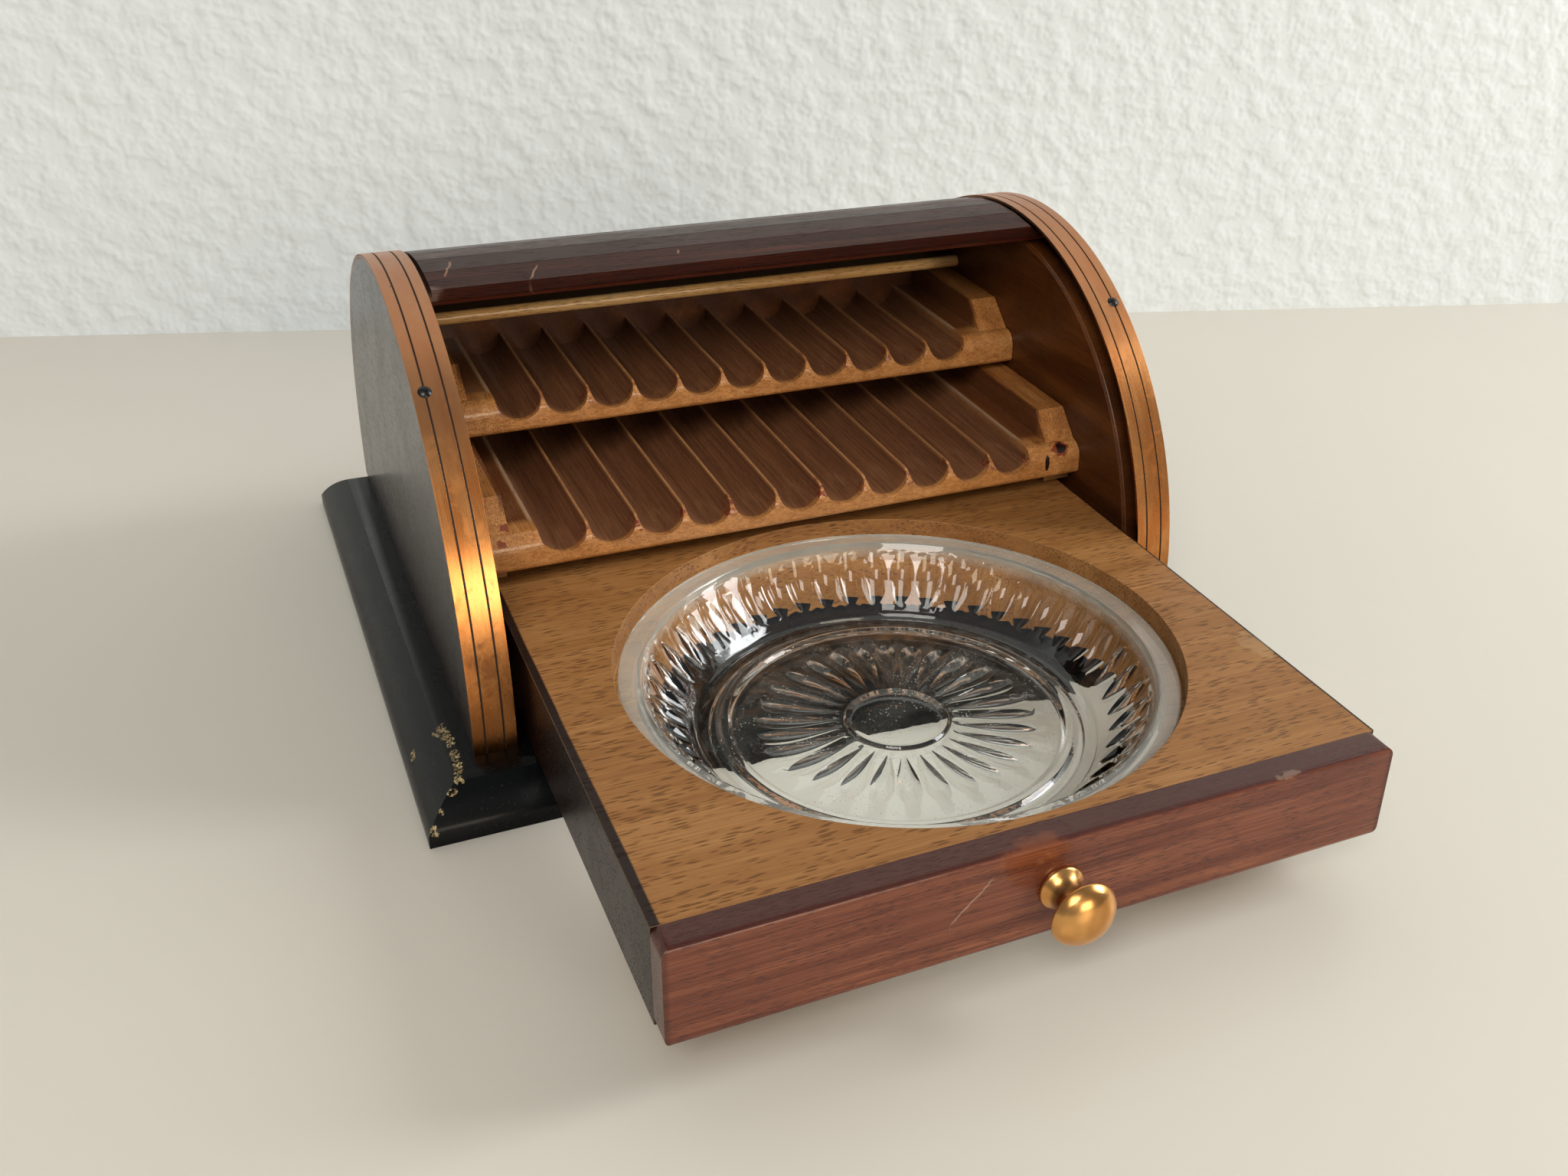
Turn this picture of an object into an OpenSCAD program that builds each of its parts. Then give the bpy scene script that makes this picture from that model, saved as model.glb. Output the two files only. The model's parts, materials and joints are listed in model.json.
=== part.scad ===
// Table box for cigarettes with a roll front and an ashtray drawer.
// X is the width, the front faces -Y, and the underside of the plinth is at Z 0.
// The box is drawn as it stands open: drawer out, tambour rolled back.

/* [Plinth] */
// Flat ledge of the plinth beside the outer boards
side_ledge = 2; // [1:0.1:6]
// Flat ledge of the plinth before the round of the case
front_ledge = 1.9; // [1:0.1:6]
// Distance from the back of the round to the back edge of the plinth
rear_margin = 5.4; // [3:0.1:12]
// Height of the plinth
plinth_h = 9.1; // [6:0.1:14]
// Height of the upright lip round the foot of the plinth
plinth_lip_h = 2.3; // [1:0.1:4]
// Width of the sloping moulding
plinth_bevel_w = 8.5; // [5:0.1:9]
// Radius of the rounded face of the moulding
plinth_bevel_r = 14; // [10:0.5:30]

/* [Case] */
// Clear width between the inner boards
inner_w = 128; // [116:0.5:132]
// Thickness of each outer board
outer_board_t = 3.8; // [3:0.1:5]
// Thickness of each inner board
inner_board_t = 3.9; // [3:0.1:5]
// Radius of the case over the metal bands
case_r = 62.8; // [60:0.1:68]
// Height of the centre of the round above the plinth
case_rise = 7; // [4:0.1:10]
// Depth of the slot between band and inner board
slot_depth = 4.6; // [4:0.1:6]

/* [Metal bands] */
// Thickness of a band
strip_t = 0.8; // [0.5:0.1:1.2]
// Distance of an engraved line from the edge of the band
strip_line_inset = 2; // [1.2:0.1:3]
// Width of an engraved line
strip_line_w = 0.35; // [0.2:0.05:0.6]
// Depth of an engraved line
strip_line_d = 0.2; // [0.1:0.05:0.3]
// Radius of a nail's head
nail_head_r = 1.2; // [0.8:0.1:1.6]
// Radius of a nail's shank
nail_r = 0.55; // [0.4:0.05:0.8]
// Length of a nail under its head
nail_len = 9; // [5:0.5:14]
// Angle of the front nails, from the front edge upwards
front_nail_angle = 50; // [30:1:70]
// Angle of the rear nails, from the front edge upwards
rear_nail_angle = 125; // [100:1:150]

/* [Trays] */
// Number of grooves in a tray
groove_count = 11; // [7:1:11]
// Distance from groove to groove
groove_pitch = 9.5; // [9.3:0.1:9.6]
// Radius of a groove
groove_r = 4.5; // [4:0.1:4.6]
// Thickness of a tray
tray_t = 7; // [6:0.1:8]
// Width of the cheek at each end of a tray
cheek_w = 6.8; // [4:0.1:7]
// Height of the cheeks above the ridges
cheek_h = 5.3; // [3:0.1:6]
// Length of the lower tray from front to back
lower_tray_len = 70.3; // [60:0.1:72]
// Length of the upper tray from front to back
upper_tray_len = 38.9; // [34:0.1:44]
// Height from the underside of one tray to that of the next
tray_step = 14; // [13.5:0.1:15]
// Radius of the rounding along the top of a tray's front
tray_nose_r = 3.2; // [2:0.1:3.5]
// Radius of the rounding along the foot of a tray's front
tray_foot_r = 1.2; // [0.5:0.1:2]
// Rise of the bevelled front of a cheek
cheek_bevel_h = 8.3; // [6:0.1:9]
// Run of the bevelled front of the lower tray's cheeks
lower_bevel_run = 8.3; // [6:0.1:10]
// Run of the bevelled front of the upper tray's cheeks
upper_bevel_run = 9.8; // [6:0.1:12]

/* [Boards behind and above the trays] */
// Gap between the rear edge of the top board and the cloth of the tambour
back_clear = 0.83; // [0.5:0.01:2]
// Thickness of the back board
back_board_t = 3; // [2:0.1:3.5]
// Thickness of the top board
top_board_t = 2.7; // [2:0.1:3]
// Depth of the top board
top_board_d = 13.5; // [10:0.1:16]
// Height from the underside of the upper tray to that of the top board
top_step = 13.7; // [13:0.1:14]
// How far the top board lies on the back board
top_lap = 2.5; // [1.5:0.1:2.5]

/* [Drawer] */
// Height of the drawer
drawer_h = 17.8; // [17:0.1:19]
// Thickness of the lipping on the front
front_t = 5; // [4:0.1:5.5]
// Radius of the lipping's corners
front_corner_r = 1.8; // [1:0.1:3]
// Radius of the lipping's long edges
front_edge_r = 1; // [0.5:0.1:2]
// Travel from closed to open
drawer_travel = 70; // [60:0.5:70]
// How far the closed drawer stands in front of the bands
front_proud = 8; // [6:0.1:10]
// Running gap under the drawer
drawer_lift = 0.5; // [0.3:0.1:0.8]
// Gap between the drawer and the bearers above it
drawer_top_gap = 0.3; // [0.2:0.05:0.6]
// Gap between the drawer and each guide
drawer_side_gap = 0.3; // [0.2:0.05:0.5]
// Thickness of a guide
guide_t = 1.9; // [1.2:0.1:3]
// Height of a guide
guide_h = 8; // [5:0.5:12]
// Length of a guide
guide_len = 96; // [60:1:110]
// Width of a bearer
bearer_w = 6; // [4:0.1:8]
// Height of a bearer
bearer_h = 2.6; // [2:0.1:4]
// How far a bearer stands back from the front of the lower tray
bearer_back = 4; // [2:0.5:10]

/* [Drawer stops] */
// Radius of a stop pin
stop_r = 1.5; // [1:0.1:2]
// Height of a stop pin above the plinth
stop_h = 3.4; // [2.5:0.1:5]
// Depth of a stop pin in the plinth
stop_root = 4; // [3:0.5:5]
// Distance from the middle of the box to a stop pin
stop_x = 56.5; // [55:0.1:57.5]
// Distance from the front edge of the plinth back to a stop pin
stop_inset = 15.7; // [10.7:0.1:20.7]
// Gap all round a stop pin in its groove
stop_gap = 0.4; // [0.2:0.05:0.6]

/* [Glass dish] */
// Wood between the lipping and the seat
seat_front_wall = 1.75; // [1:0.05:4]
// Wood between the seat and the back of the drawer
seat_rear_wall = 9.05; // [6:0.05:10]
// Radius of the round seat in the drawer
seat_r = 50.1; // [48:0.1:50.6]
// Depth of the seat below the top of the drawer
seat_depth = 5.2; // [4:0.1:6]
// Width of the step that carries the dish
seat_step = 3.3; // [2.5:0.1:4]
// Gap round the rim of the dish in its seat
rim_gap = 0.7; // [0.4:0.1:1]
// Thickness of the rim
rim_t = 2.2; // [1.6:0.1:3]
// Width of the flat rim
rim_w = 3.9; // [3:0.1:5]
// Height of the dish from its foot to the top of its rim
dish_h = 14.3; // [12:0.1:14.5]
// Thickness of the glass in the floor
dish_floor_t = 2.3; // [1.8:0.1:3]
// Radius of the floor inside the wall
floor_r = 35; // [32:0.5:36]
// Thickness of the glass in the wall
dish_wall_t = 2.4; // [2:0.1:3]
// Radius of the raised ring at the edge of the floor pattern
ring_r = 31; // [29:0.5:33]
// Height of the raised ring
ring_h = 0.9; // [0.4:0.1:1.2]
// Gap between the foot of the step and the wall of the dish
dish_gap = 0.6; // [0.3:0.1:1]
// Height of the upright band inside the rim
dish_band_h = 3.2; // [2:0.1:4]
// How far that band leans in
dish_band_lean = 2; // [1:0.1:3]
// Number of flutes round the wall
flute_count = 48; // [36:1:48]
// Width of a flute at its middle
flute_w = 4.5; // [3:0.1:4.6]
// Depth of a flute at its middle
flute_depth = 0.6; // [0.3:0.05:0.8]
// Plain glass between a flute and each end of the wall
flute_margin = 0.6; // [0.4:0.1:2]
// Number of petals in the floor
petal_count = 28; // [20:1:28]
// Width of a petal at its middle
petal_w = 3.2; // [2:0.1:3.5]
// Depth of a petal at its middle
petal_depth = 0.5; // [0.3:0.05:0.6]
// Radius where the petals begin
petal_start_r = 10.5; // [9:0.5:14]
// Radius where the petals end
petal_end_r = 25.5; // [22:0.5:27]

/* [Knob] */
// Radius of the knob's head
knob_r = 5.6; // [4:0.1:7]
// Radius of the knob's foot
knob_foot_r = 3.8; // [3:0.1:5]
// Radius of the knob's neck
knob_neck_r = 2.2; // [1.8:0.1:2.6]
// Length of the knob
knob_len = 9.8; // [8:0.1:14]
// Height of the knob's foot
knob_foot_h = 1.7; // [1:0.1:2.5]
// Radius of the screw that holds the knob
knob_screw_r = 1.1; // [0.8:0.1:1.4]
// Length of that screw behind the front of the drawer
knob_screw_len = 8.6; // [6:0.1:9]
// Thickness of the edge of the knob's foot
knob_foot_edge = 0.6; // [0.4:0.1:1]
// Width of the flare between the neck and the foot
knob_flare = 0.5; // [0.3:0.1:0.8]
// Height of that flare
knob_flare_h = 1; // [0.6:0.1:1.4]
// Depth of the hollow under the head
knob_under_h = 1.6; // [1:0.1:1.8]
// Height of the head's underside at the neck, below the head's edge
knob_under_edge = 0.9; // [0.6:0.1:0.9]
// Gap at the end of the screw in the knob
knob_screw_gap = 0.2; // [0.1:0.05:0.4]

/* [Tambour] */
// Number of narrow slats
slat_count = 14; // [10:1:14]
// Angle taken by one slat
slat_pitch = 7.1; // [6:0.1:7.1]
// Angle of the tambour's leading edge, from the front upwards
lead_angle = 78.9; // [72:0.1:80]
// Thickness of a slat
slat_t = 4.4; // [3.4:0.1:4.4]
// How far the slats lie below the face of the bands
slat_sink = 0.4; // [0.3:0.1:1]
// Distance from the inner board to the shoulder of a slat
slat_end_gap = 1; // [0.6:0.1:5]
// Thickness of the tongue at each end of a slat
tongue_t = 3; // [2:0.1:3]
// Gap between the tongue and the outer board
tongue_end_gap = 0.5; // [0.3:0.1:1]
// Gap between the tongue and the edge of the inner board
tongue_gap = 0.5; // [0.3:0.1:0.8]
// Gap between neighbouring slats
slat_split = 0.16; // [0.1:0.02:0.3]
// Thickness of the cloth behind the slats
canvas_t = 0.35; // [0.2:0.05:0.4]
// Bare slat end beside the cloth
canvas_inset = 2; // [1:0.1:6]
// Height of the upright face of the leading edge
lead_face_h = 2.3; // [1.5:0.1:3]
// Angle taken by the chamfer under the leading edge
lead_chamfer = 2.6; // [1:0.1:4]

/* [Fixings] */
// Radius of a base screw's shank
base_screw_r = 1; // [0.8:0.1:1.2]
// Radius of a base screw's head
base_head_r = 2.1; // [1.8:0.1:2.6]
// Length of a base screw
base_screw_len = 18; // [14:0.5:24]
// Distance from the centre of the round to the outer base screws
base_screw_off = 46; // [30:1:50]
// Depth of a base screw's head below the underside
base_sink = 0.3; // [0.2:0.1:1]
// Radius of a tray dowel
dowel_r = 1.5; // [1:0.1:2]
// Depth of a tray dowel in the tray
dowel_depth = 5; // [3:0.5:6]
// Distance from the back board forward to the rear dowels
dowel_back = 6; // [4:0.5:10]
// Distance between the two dowels of a tray's end
dowel_span = 18; // [14:0.5:22]

/* [Hidden] */
$fn = 96;
// Overshoot of a cut beyond the face that it opens
eps = 1;
// Overlap of two shapes that make one solid
join = 0.01;
// Clearance of a pin in its hole
pin_fit = 0.03;
// Clearance under a piece that lies on another
rest_gap = 0.1;
// Clearance of a nail's head over its band, and of the cloth under the slats
skin_gap = 0.02;
// Radius of a nail's dome for each unit of its head's radius
nail_dome = 1.5;
// Radius of the knob's dome for each unit of its head's radius
knob_dome = 1.35;
// How far a tongue runs into the end of its slat
tongue_root = 1;
// Angle by which the cloth stops short of the leading chamfer and the last edge
canvas_short = 1;
// How far the chamfer of the leading edge is drawn beyond the tongue
chamfer_over = 0.3;
// How far a pressed groove stands clear of the glass at its two ends
groove_lift = 0.05;
// Width and depth of the step under the dish's rim
dish_step_w = 1;
dish_step_h = 2;

outer_face_x = inner_w / 2 + inner_board_t + outer_board_t;
side_w = inner_board_t + outer_board_t;
plinth_w = 2 * (outer_face_x + side_ledge + plinth_bevel_w);
plinth_d = plinth_bevel_w + front_ledge + 2 * case_r + rear_margin;
case_back = plinth_bevel_w + front_ledge + case_r - plinth_d / 2;
centre_z = plinth_h + case_rise;
board_r = case_r - strip_t;
inner_board_r = board_r - slot_depth;
slat_outer_r = case_r - slat_sink;
slat_inner_r = slat_outer_r - slat_t;
canvas_r = slat_inner_r * cos(slat_pitch / 2) - skin_gap;
inner_chamfer = 0.5;

drawer_w = inner_w - 2 * (guide_t + drawer_side_gap);
drawer_len = front_t + seat_front_wall + 2 * seat_r + seat_rear_wall;
drawer_z = plinth_h + drawer_lift;
drawer_top = drawer_z + drawer_h;
front_closed_y = case_back - case_r - front_proud;
front_y = front_closed_y - drawer_travel;
stop_y = stop_inset - plinth_d / 2;

bearer_z = drawer_top + drawer_top_gap;
lower_tray_z = bearer_z + bearer_h;
upper_tray_z = lower_tray_z + tray_step;
top_board_z = upper_tray_z + top_step;
top_corner_r = canvas_r - canvas_t - back_clear;
top_corner_h = top_board_z + top_board_t - centre_z;
back_y = case_back + sqrt(pow(top_corner_r, 2) - pow(top_corner_h, 2)) - top_lap;
lower_front_y = back_y - lower_tray_len;
upper_front_y = back_y - upper_tray_len;
top_front_y = back_y + top_lap - top_board_d;
tray_w = inner_w - 2 * rest_gap;

dish_y = front_y + front_t + seat_front_wall + seat_r;
seat_z = drawer_top - seat_depth;
rim_z = seat_z + rest_gap;
rim_r = seat_r - rim_gap;
dish_top = rim_z + rim_t;
dish_foot = dish_top - dish_h;
floor_z = dish_foot + dish_floor_t;
through_r = seat_r - seat_step;
wall_top_r = rim_r - rim_w;

slat_half_w = inner_w / 2 - slat_end_gap;
tongue_half_w = inner_w / 2 + inner_board_t - tongue_end_gap;
tongue_inner_r = inner_board_r + tongue_gap;
tail_angle = lead_angle + (slat_count + 1) * slat_pitch;

pin_x = outer_face_x - outer_board_t / 2;
nail_x = outer_face_x - strip_line_inset - strip_line_w / 2;

SLATS = [for (i = [1:slat_count]) str("slat_", i < 10 ? "0" : "", i)];

// A point in the side view, at radius r and at an angle counted from the front upwards
function round_point(r, a) = [case_back - r * cos(a), centre_z + r * sin(a)];

// Extrudes a side view, drawn as [y, z], over the width w and centres it on X
module across(w) {
    rotate([90, 0, 90])
        translate([0, 0, -w / 2])
            linear_extrude(w)
                children();
}

// A disc on the case's round, from x to x + t
module round_disc(r, x, t) {
    translate([x, case_back, centre_z])
        rotate([0, 90, 0])
            cylinder(h = t, r = r);
}

// Everything above the plinth
module above_plinth() {
    translate([-plinth_w, -plinth_d, plinth_h])
        cube([2 * plinth_w, 2 * plinth_d, 2 * case_r]);
}

module mirrored(side) {
    if (side < 0) {
        mirror([1, 0, 0]) children();
    } else {
        children();
    }
}

module both_sides() {
    mirrored(1) children();
    mirrored(-1) children();
}

// Section of the plinth across a width w: lip, rounded slope and flat top
module plinth_section(w) {
    rise = plinth_h - plinth_lip_h;
    chord = sqrt(pow(plinth_bevel_w, 2) + pow(rise, 2));
    slope = atan(rise / plinth_bevel_w);
    sag = sqrt(pow(plinth_bevel_r, 2) - pow(chord / 2, 2));
    mid = [w / 2 - plinth_bevel_w / 2, plinth_lip_h + rise / 2];
    bulge_centre = mid - sag * [sin(slope), cos(slope)];
    translate([-w / 2, 0])
        square([w, plinth_lip_h]);
    translate([-w / 2 + plinth_bevel_w, 0])
        square([w - 2 * plinth_bevel_w, plinth_h]);
    for (s = [-1, 1]) {
        scale([s, 1]) {
            intersection() {
                translate(bulge_centre)
                    circle(plinth_bevel_r);
                translate([w / 2 - plinth_bevel_w - join, 0])
                    square([plinth_bevel_w + join, plinth_h]);
            }
        }
    }
}

module base_screw_places() {
    for (y = [-base_screw_off, 0, base_screw_off]) {
        both_sides()
            translate([pin_x, case_back + y, base_sink])
                children();
    }
}

module base_screw(grow) {
    cylinder(h = base_head_r - base_screw_r, r1 = base_head_r + grow, r2 = base_screw_r + grow);
    cylinder(h = base_screw_len + grow, r = base_screw_r + grow);
}

module stop_places() {
    both_sides()
        translate([stop_x, stop_y, plinth_h])
            children();
}

module plinth() {
    color("#101214")
        difference() {
            intersection() {
                across(plinth_w) plinth_section(plinth_d);
                rotate([0, 0, 90]) across(plinth_d) plinth_section(plinth_w);
            }
            base_screw_places() {
                base_screw(pin_fit);
                translate([0, 0, -base_sink - eps])
                    cylinder(h = base_sink + eps + join, r = base_head_r + pin_fit);
            }
            stop_places()
                translate([0, 0, -stop_root])
                    cylinder(h = stop_root + eps, r = stop_r + pin_fit);
        }
}

module base_screws() {
    color("#b08a4a")
        base_screw_places() base_screw(0);
}

module nail_places() {
    for (a = [front_nail_angle, rear_nail_angle]) {
        translate([nail_x, case_back, centre_z])
            rotate([a - 90, 0, 0])
                translate([0, 0, case_r])
                    children();
    }
}

// Round-topped outer board with holes for its nails and screws
module outer_board(side) {
    color("#3b1c14")
        mirrored(side)
            difference() {
                intersection() {
                    round_disc(board_r, outer_face_x - outer_board_t, outer_board_t);
                    above_plinth();
                }
                nail_places()
                    translate([0, 0, -nail_len - pin_fit])
                        cylinder(h = nail_len + eps, r = nail_r + pin_fit);
                base_screw_places() base_screw(pin_fit);
            }
}

module dowel_places(x) {
    for (z = [lower_tray_z, upper_tray_z]) {
        for (y = [0, dowel_span]) {
            translate([x, back_y - dowel_back - y, z + tray_t / 2])
                rotate([0, 90, 0])
                    children();
        }
    }
}

// Smaller round board; the tambour's tongues run round its edge
module inner_board(side) {
    color("#5a2f14")
        mirrored(side)
            difference() {
                intersection() {
                    union() {
                        round_disc(inner_board_r, inner_w / 2 + inner_chamfer, inner_board_t - inner_chamfer);
                        translate([inner_w / 2, case_back, centre_z])
                            rotate([0, 90, 0])
                                cylinder(
                                    h = inner_chamfer,
                                    r1 = inner_board_r - inner_chamfer,
                                    r2 = inner_board_r);
                    }
                    above_plinth();
                }
                dowel_places(inner_w / 2 - eps)
                    cylinder(h = inner_board_t + 2 * eps, r = dowel_r + pin_fit);
            }
}

// Metal band bent over both boards, with two engraved lines
module strip(side) {
    line_r = case_r - strip_line_d;
    inner_line_x = outer_face_x - side_w + strip_line_inset;
    outer_line_x = outer_face_x - strip_line_inset;
    color("#b07a4a")
        mirrored(side)
            difference() {
                intersection() {
                    round_disc(case_r, outer_face_x - side_w, side_w);
                    above_plinth();
                }
                round_disc(board_r, outer_face_x - side_w - eps, side_w + 2 * eps);
                for (x = [inner_line_x, outer_line_x - strip_line_w]) {
                    difference() {
                        round_disc(case_r + eps, x, strip_line_w);
                        round_disc(line_r, x - eps, strip_line_w + 2 * eps);
                    }
                }
                nail_places()
                    translate([0, 0, -2 * strip_t])
                        cylinder(h = 2 * strip_t + eps, r = nail_r + pin_fit);
            }
}

// Nail with a domed head
module strip_nails(side) {
    dome_r = nail_dome * nail_head_r;
    dome_drop = sqrt(pow(dome_r, 2) - pow(nail_head_r, 2));
    color("#17181a")
        mirrored(side)
            nail_places() {
                translate([0, 0, -nail_len])
                    cylinder(h = nail_len + skin_gap + join, r = nail_r);
                rotate_extrude()
                    intersection() {
                        translate([0, skin_gap - dome_drop])
                            circle(dome_r);
                        translate([0, skin_gap])
                            square([nail_head_r, dome_r]);
                    }
            }
}

module drawer_guide(side) {
    color("#8a5a30")
        mirrored(side)
            translate([inner_w / 2 - guide_t, -guide_len / 2, plinth_h])
                cube([guide_t, guide_len, guide_h]);
}

module tray_bearer(side) {
    front = lower_front_y + bearer_back;
    color("#8a5a30")
        mirrored(side)
            translate([inner_w / 2 - bearer_w, front, bearer_z])
                cube([bearer_w, back_y - front, bearer_h]);
}

module stop_pins() {
    color("#9a7040")
        stop_places()
            translate([0, 0, -stop_root])
                cylinder(h = stop_root + stop_h, r = stop_r);
}

// Side view of a tray's board: the front is rounded above and below
module tray_section(len) {
    difference() {
        square([len, tray_t]);
        difference() {
            translate([-eps, tray_t - tray_nose_r])
                square([tray_nose_r + eps, tray_nose_r + eps]);
            translate([tray_nose_r, tray_t - tray_nose_r])
                circle(tray_nose_r);
        }
        difference() {
            translate([-eps, -eps])
                square([tray_foot_r + eps, tray_foot_r + eps]);
            translate([tray_foot_r, tray_foot_r])
                circle(tray_foot_r);
        }
    }
}

// Side view of a tray's cheek: a bevel leads from the front to the top
module cheek_section(len, run) {
    top = tray_t + cheek_h;
    intersection() {
        polygon([[0, 0], [len, 0], [len, top], [run, top], [0, top - cheek_bevel_h]]);
        union() {
            tray_section(len);
            translate([0, tray_foot_r])
                square([len, top]);
        }
    }
}

// Grooved tray with a raised cheek at each end
module tray(front, z, len, run) {
    color("#c08a50")
        difference() {
            translate([0, front, z]) {
                across(tray_w) tray_section(len);
                both_sides()
                    translate([tray_w / 2 - cheek_w / 2, 0, 0])
                        across(cheek_w) cheek_section(len, run);
            }
            for (i = [0:groove_count - 1]) {
                translate([(i - (groove_count - 1) / 2) * groove_pitch, front - eps, z + tray_t])
                    rotate([-90, 0, 0])
                        cylinder(h = len + 2 * eps, r = groove_r);
            }
            both_sides()
                dowel_places(tray_w / 2 - dowel_depth)
                    cylinder(h = dowel_depth + eps, r = dowel_r + pin_fit);
        }
}

module lower_tray() {
    tray(lower_front_y, lower_tray_z, lower_tray_len, lower_bevel_run);
}

module upper_tray() {
    tray(upper_front_y, upper_tray_z, upper_tray_len, upper_bevel_run);
}

module tray_dowels() {
    root = tray_w / 2 - dowel_depth + rest_gap;
    color("#a87a48")
        both_sides()
            dowel_places(root)
                cylinder(h = inner_w / 2 + inner_board_t - root, r = dowel_r);
}

module back_board() {
    color("#6a4020")
        translate([-tray_w / 2, back_y, bearer_z])
            cube([tray_w, back_board_t, top_board_z - bearer_z]);
}

// Thin board with a half-round front edge
module top_board() {
    nose_r = top_board_t / 2;
    color("#4a3020")
        translate([0, top_front_y, top_board_z])
            across(tray_w) {
                translate([nose_r, nose_r])
                    circle(nose_r);
                translate([nose_r, 0])
                    square([top_board_d - nose_r, top_board_t]);
            }
}

// Groove under the drawer that runs over a stop pin
module stop_groove() {
    reach = stop_r + stop_gap;
    translate([stop_x - reach, stop_y - drawer_travel - reach, drawer_z - eps])
        cube([2 * reach, drawer_travel + 2 * reach, plinth_h + stop_h + stop_gap - drawer_z + eps]);
}

// Beech board with a stepped hole for the dish
module drawer_board() {
    color("#b07840")
        difference() {
            translate([-drawer_w / 2, front_y + front_t, drawer_z])
                cube([drawer_w, drawer_len - front_t, drawer_h]);
            translate([0, dish_y, seat_z])
                cylinder(h = seat_depth + eps, r = seat_r);
            translate([0, dish_y, drawer_z - eps])
                cylinder(h = drawer_h, r = through_r);
            both_sides()
                stop_groove();
            translate([0, front_y, drawer_z + drawer_h / 2])
                rotate([-90, 0, 0])
                    cylinder(h = knob_screw_len + pin_fit, r = knob_screw_r + pin_fit);
        }
}

// Outline with four rounded corners, centred
module rounded_outline(w, h, r) {
    square([w - 2 * r, h], center = true);
    square([w, h - 2 * r], center = true);
    for (x = [-1, 1], y = [-1, 1]) {
        translate([x * (w / 2 - r), y * (h / 2 - r)])
            circle(r);
    }
}

module drawer_front() {
    color("#6e3222")
        difference() {
            intersection() {
                translate([0, front_y + front_t, drawer_z + drawer_h / 2])
                    rotate([90, 0, 0])
                        linear_extrude(front_t)
                            rounded_outline(drawer_w, drawer_h, front_corner_r);
                translate([0, front_y + front_t, drawer_z + drawer_h / 2])
                    across(drawer_w)
                        rounded_outline(2 * front_t, drawer_h, front_edge_r);
            }
            translate([0, front_y - eps, drawer_z + drawer_h / 2])
                rotate([-90, 0, 0])
                    cylinder(h = front_t + 2 * eps, r = knob_screw_r + pin_fit);
        }
}

// Pointed grooves, deepest at the middle, from one point of the dish's section to another
module pointed_grooves(count, from, to, w, depth) {
    run = to - from;
    mid = (from + to) / 2;
    for (i = [0:count - 1]) {
        rotate([0, 0, i * 360 / count])
            translate([mid[0], 0, mid[1]])
                rotate([0, 90 - atan2(run[1], run[0]), 0])
                    translate([-groove_lift, 0, 0])
                        scale([1, w / (2 * depth), 1])
                            for (end = [0, 1]) {
                                mirror([0, 0, end])
                                    cylinder(h = norm(run) / 2, r1 = depth + groove_lift, r2 = 0, $fn = 4);
                            }
    }
}

// Pressed glass dish that hangs by its rim, with a fluted wall and petals in its floor
module glass_dish() {
    under_r = through_r - dish_gap;
    wall_foot = [floor_r, floor_z];
    wall_head = [wall_top_r - dish_band_lean, dish_top - dish_band_h];
    margin = flute_margin * (wall_head - wall_foot) / norm(wall_head - wall_foot);
    color([0.8, 0.85, 0.85, 0.4])
        translate([0, dish_y, 0])
            difference() {
                rotate_extrude()
                    polygon([
                        [0, dish_foot],
                        [floor_r + dish_wall_t - dish_step_w, dish_foot],
                        [under_r - dish_step_w, rim_z - dish_step_h],
                        [under_r, rim_z],
                        [rim_r, rim_z],
                        [rim_r, dish_top],
                        [wall_top_r, dish_top],
                        wall_head,
                        wall_foot,
                        [ring_r + ring_h, floor_z],
                        [ring_r, floor_z + ring_h],
                        [ring_r - ring_h, floor_z],
                        [0, floor_z]
                    ]);
                pointed_grooves(flute_count, wall_foot + margin, wall_head - margin, flute_w, flute_depth);
                pointed_grooves(
                    petal_count, [petal_start_r, floor_z], [petal_end_r, floor_z],
                    petal_w, petal_depth);
            }
}

// Turned knob: domed foot, neck and mushroom head
module knob() {
    head_dome_r = knob_dome * knob_r;
    head_drop = sqrt(pow(head_dome_r, 2) - pow(knob_r, 2));
    head_t = head_dome_r - head_drop;
    head_z = knob_len - head_t;
    color("#b8763e")
        translate([0, front_y, drawer_z + drawer_h / 2])
            rotate([90, 0, 0])
                difference() {
                    rotate_extrude() {
                        intersection() {
                            translate([0, head_z - head_drop])
                                circle(head_dome_r);
                            translate([0, head_z])
                                square([knob_r, head_t]);
                        }
                        polygon([
                            [0, 0], [knob_foot_r, 0], [knob_foot_r, knob_foot_edge],
                            [knob_neck_r + knob_flare, knob_foot_h],
                            [knob_neck_r, knob_foot_h + knob_flare_h],
                            [knob_neck_r, head_z - knob_under_h],
                            [knob_neck_r + knob_flare, head_z - knob_under_edge],
                            [knob_r, head_z], [0, head_z]
                        ]);
                    }
                    translate([0, 0, -eps])
                        cylinder(h = knob_len / 2 + eps, r = knob_screw_r + pin_fit);
                }
}

module knob_screw() {
    color("#a0a0a0")
        translate([0, front_y - knob_len / 2 + knob_screw_gap, drawer_z + drawer_h / 2])
            rotate([-90, 0, 0])
                cylinder(h = knob_len / 2 - knob_screw_gap + knob_screw_len, r = knob_screw_r);
}

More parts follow.
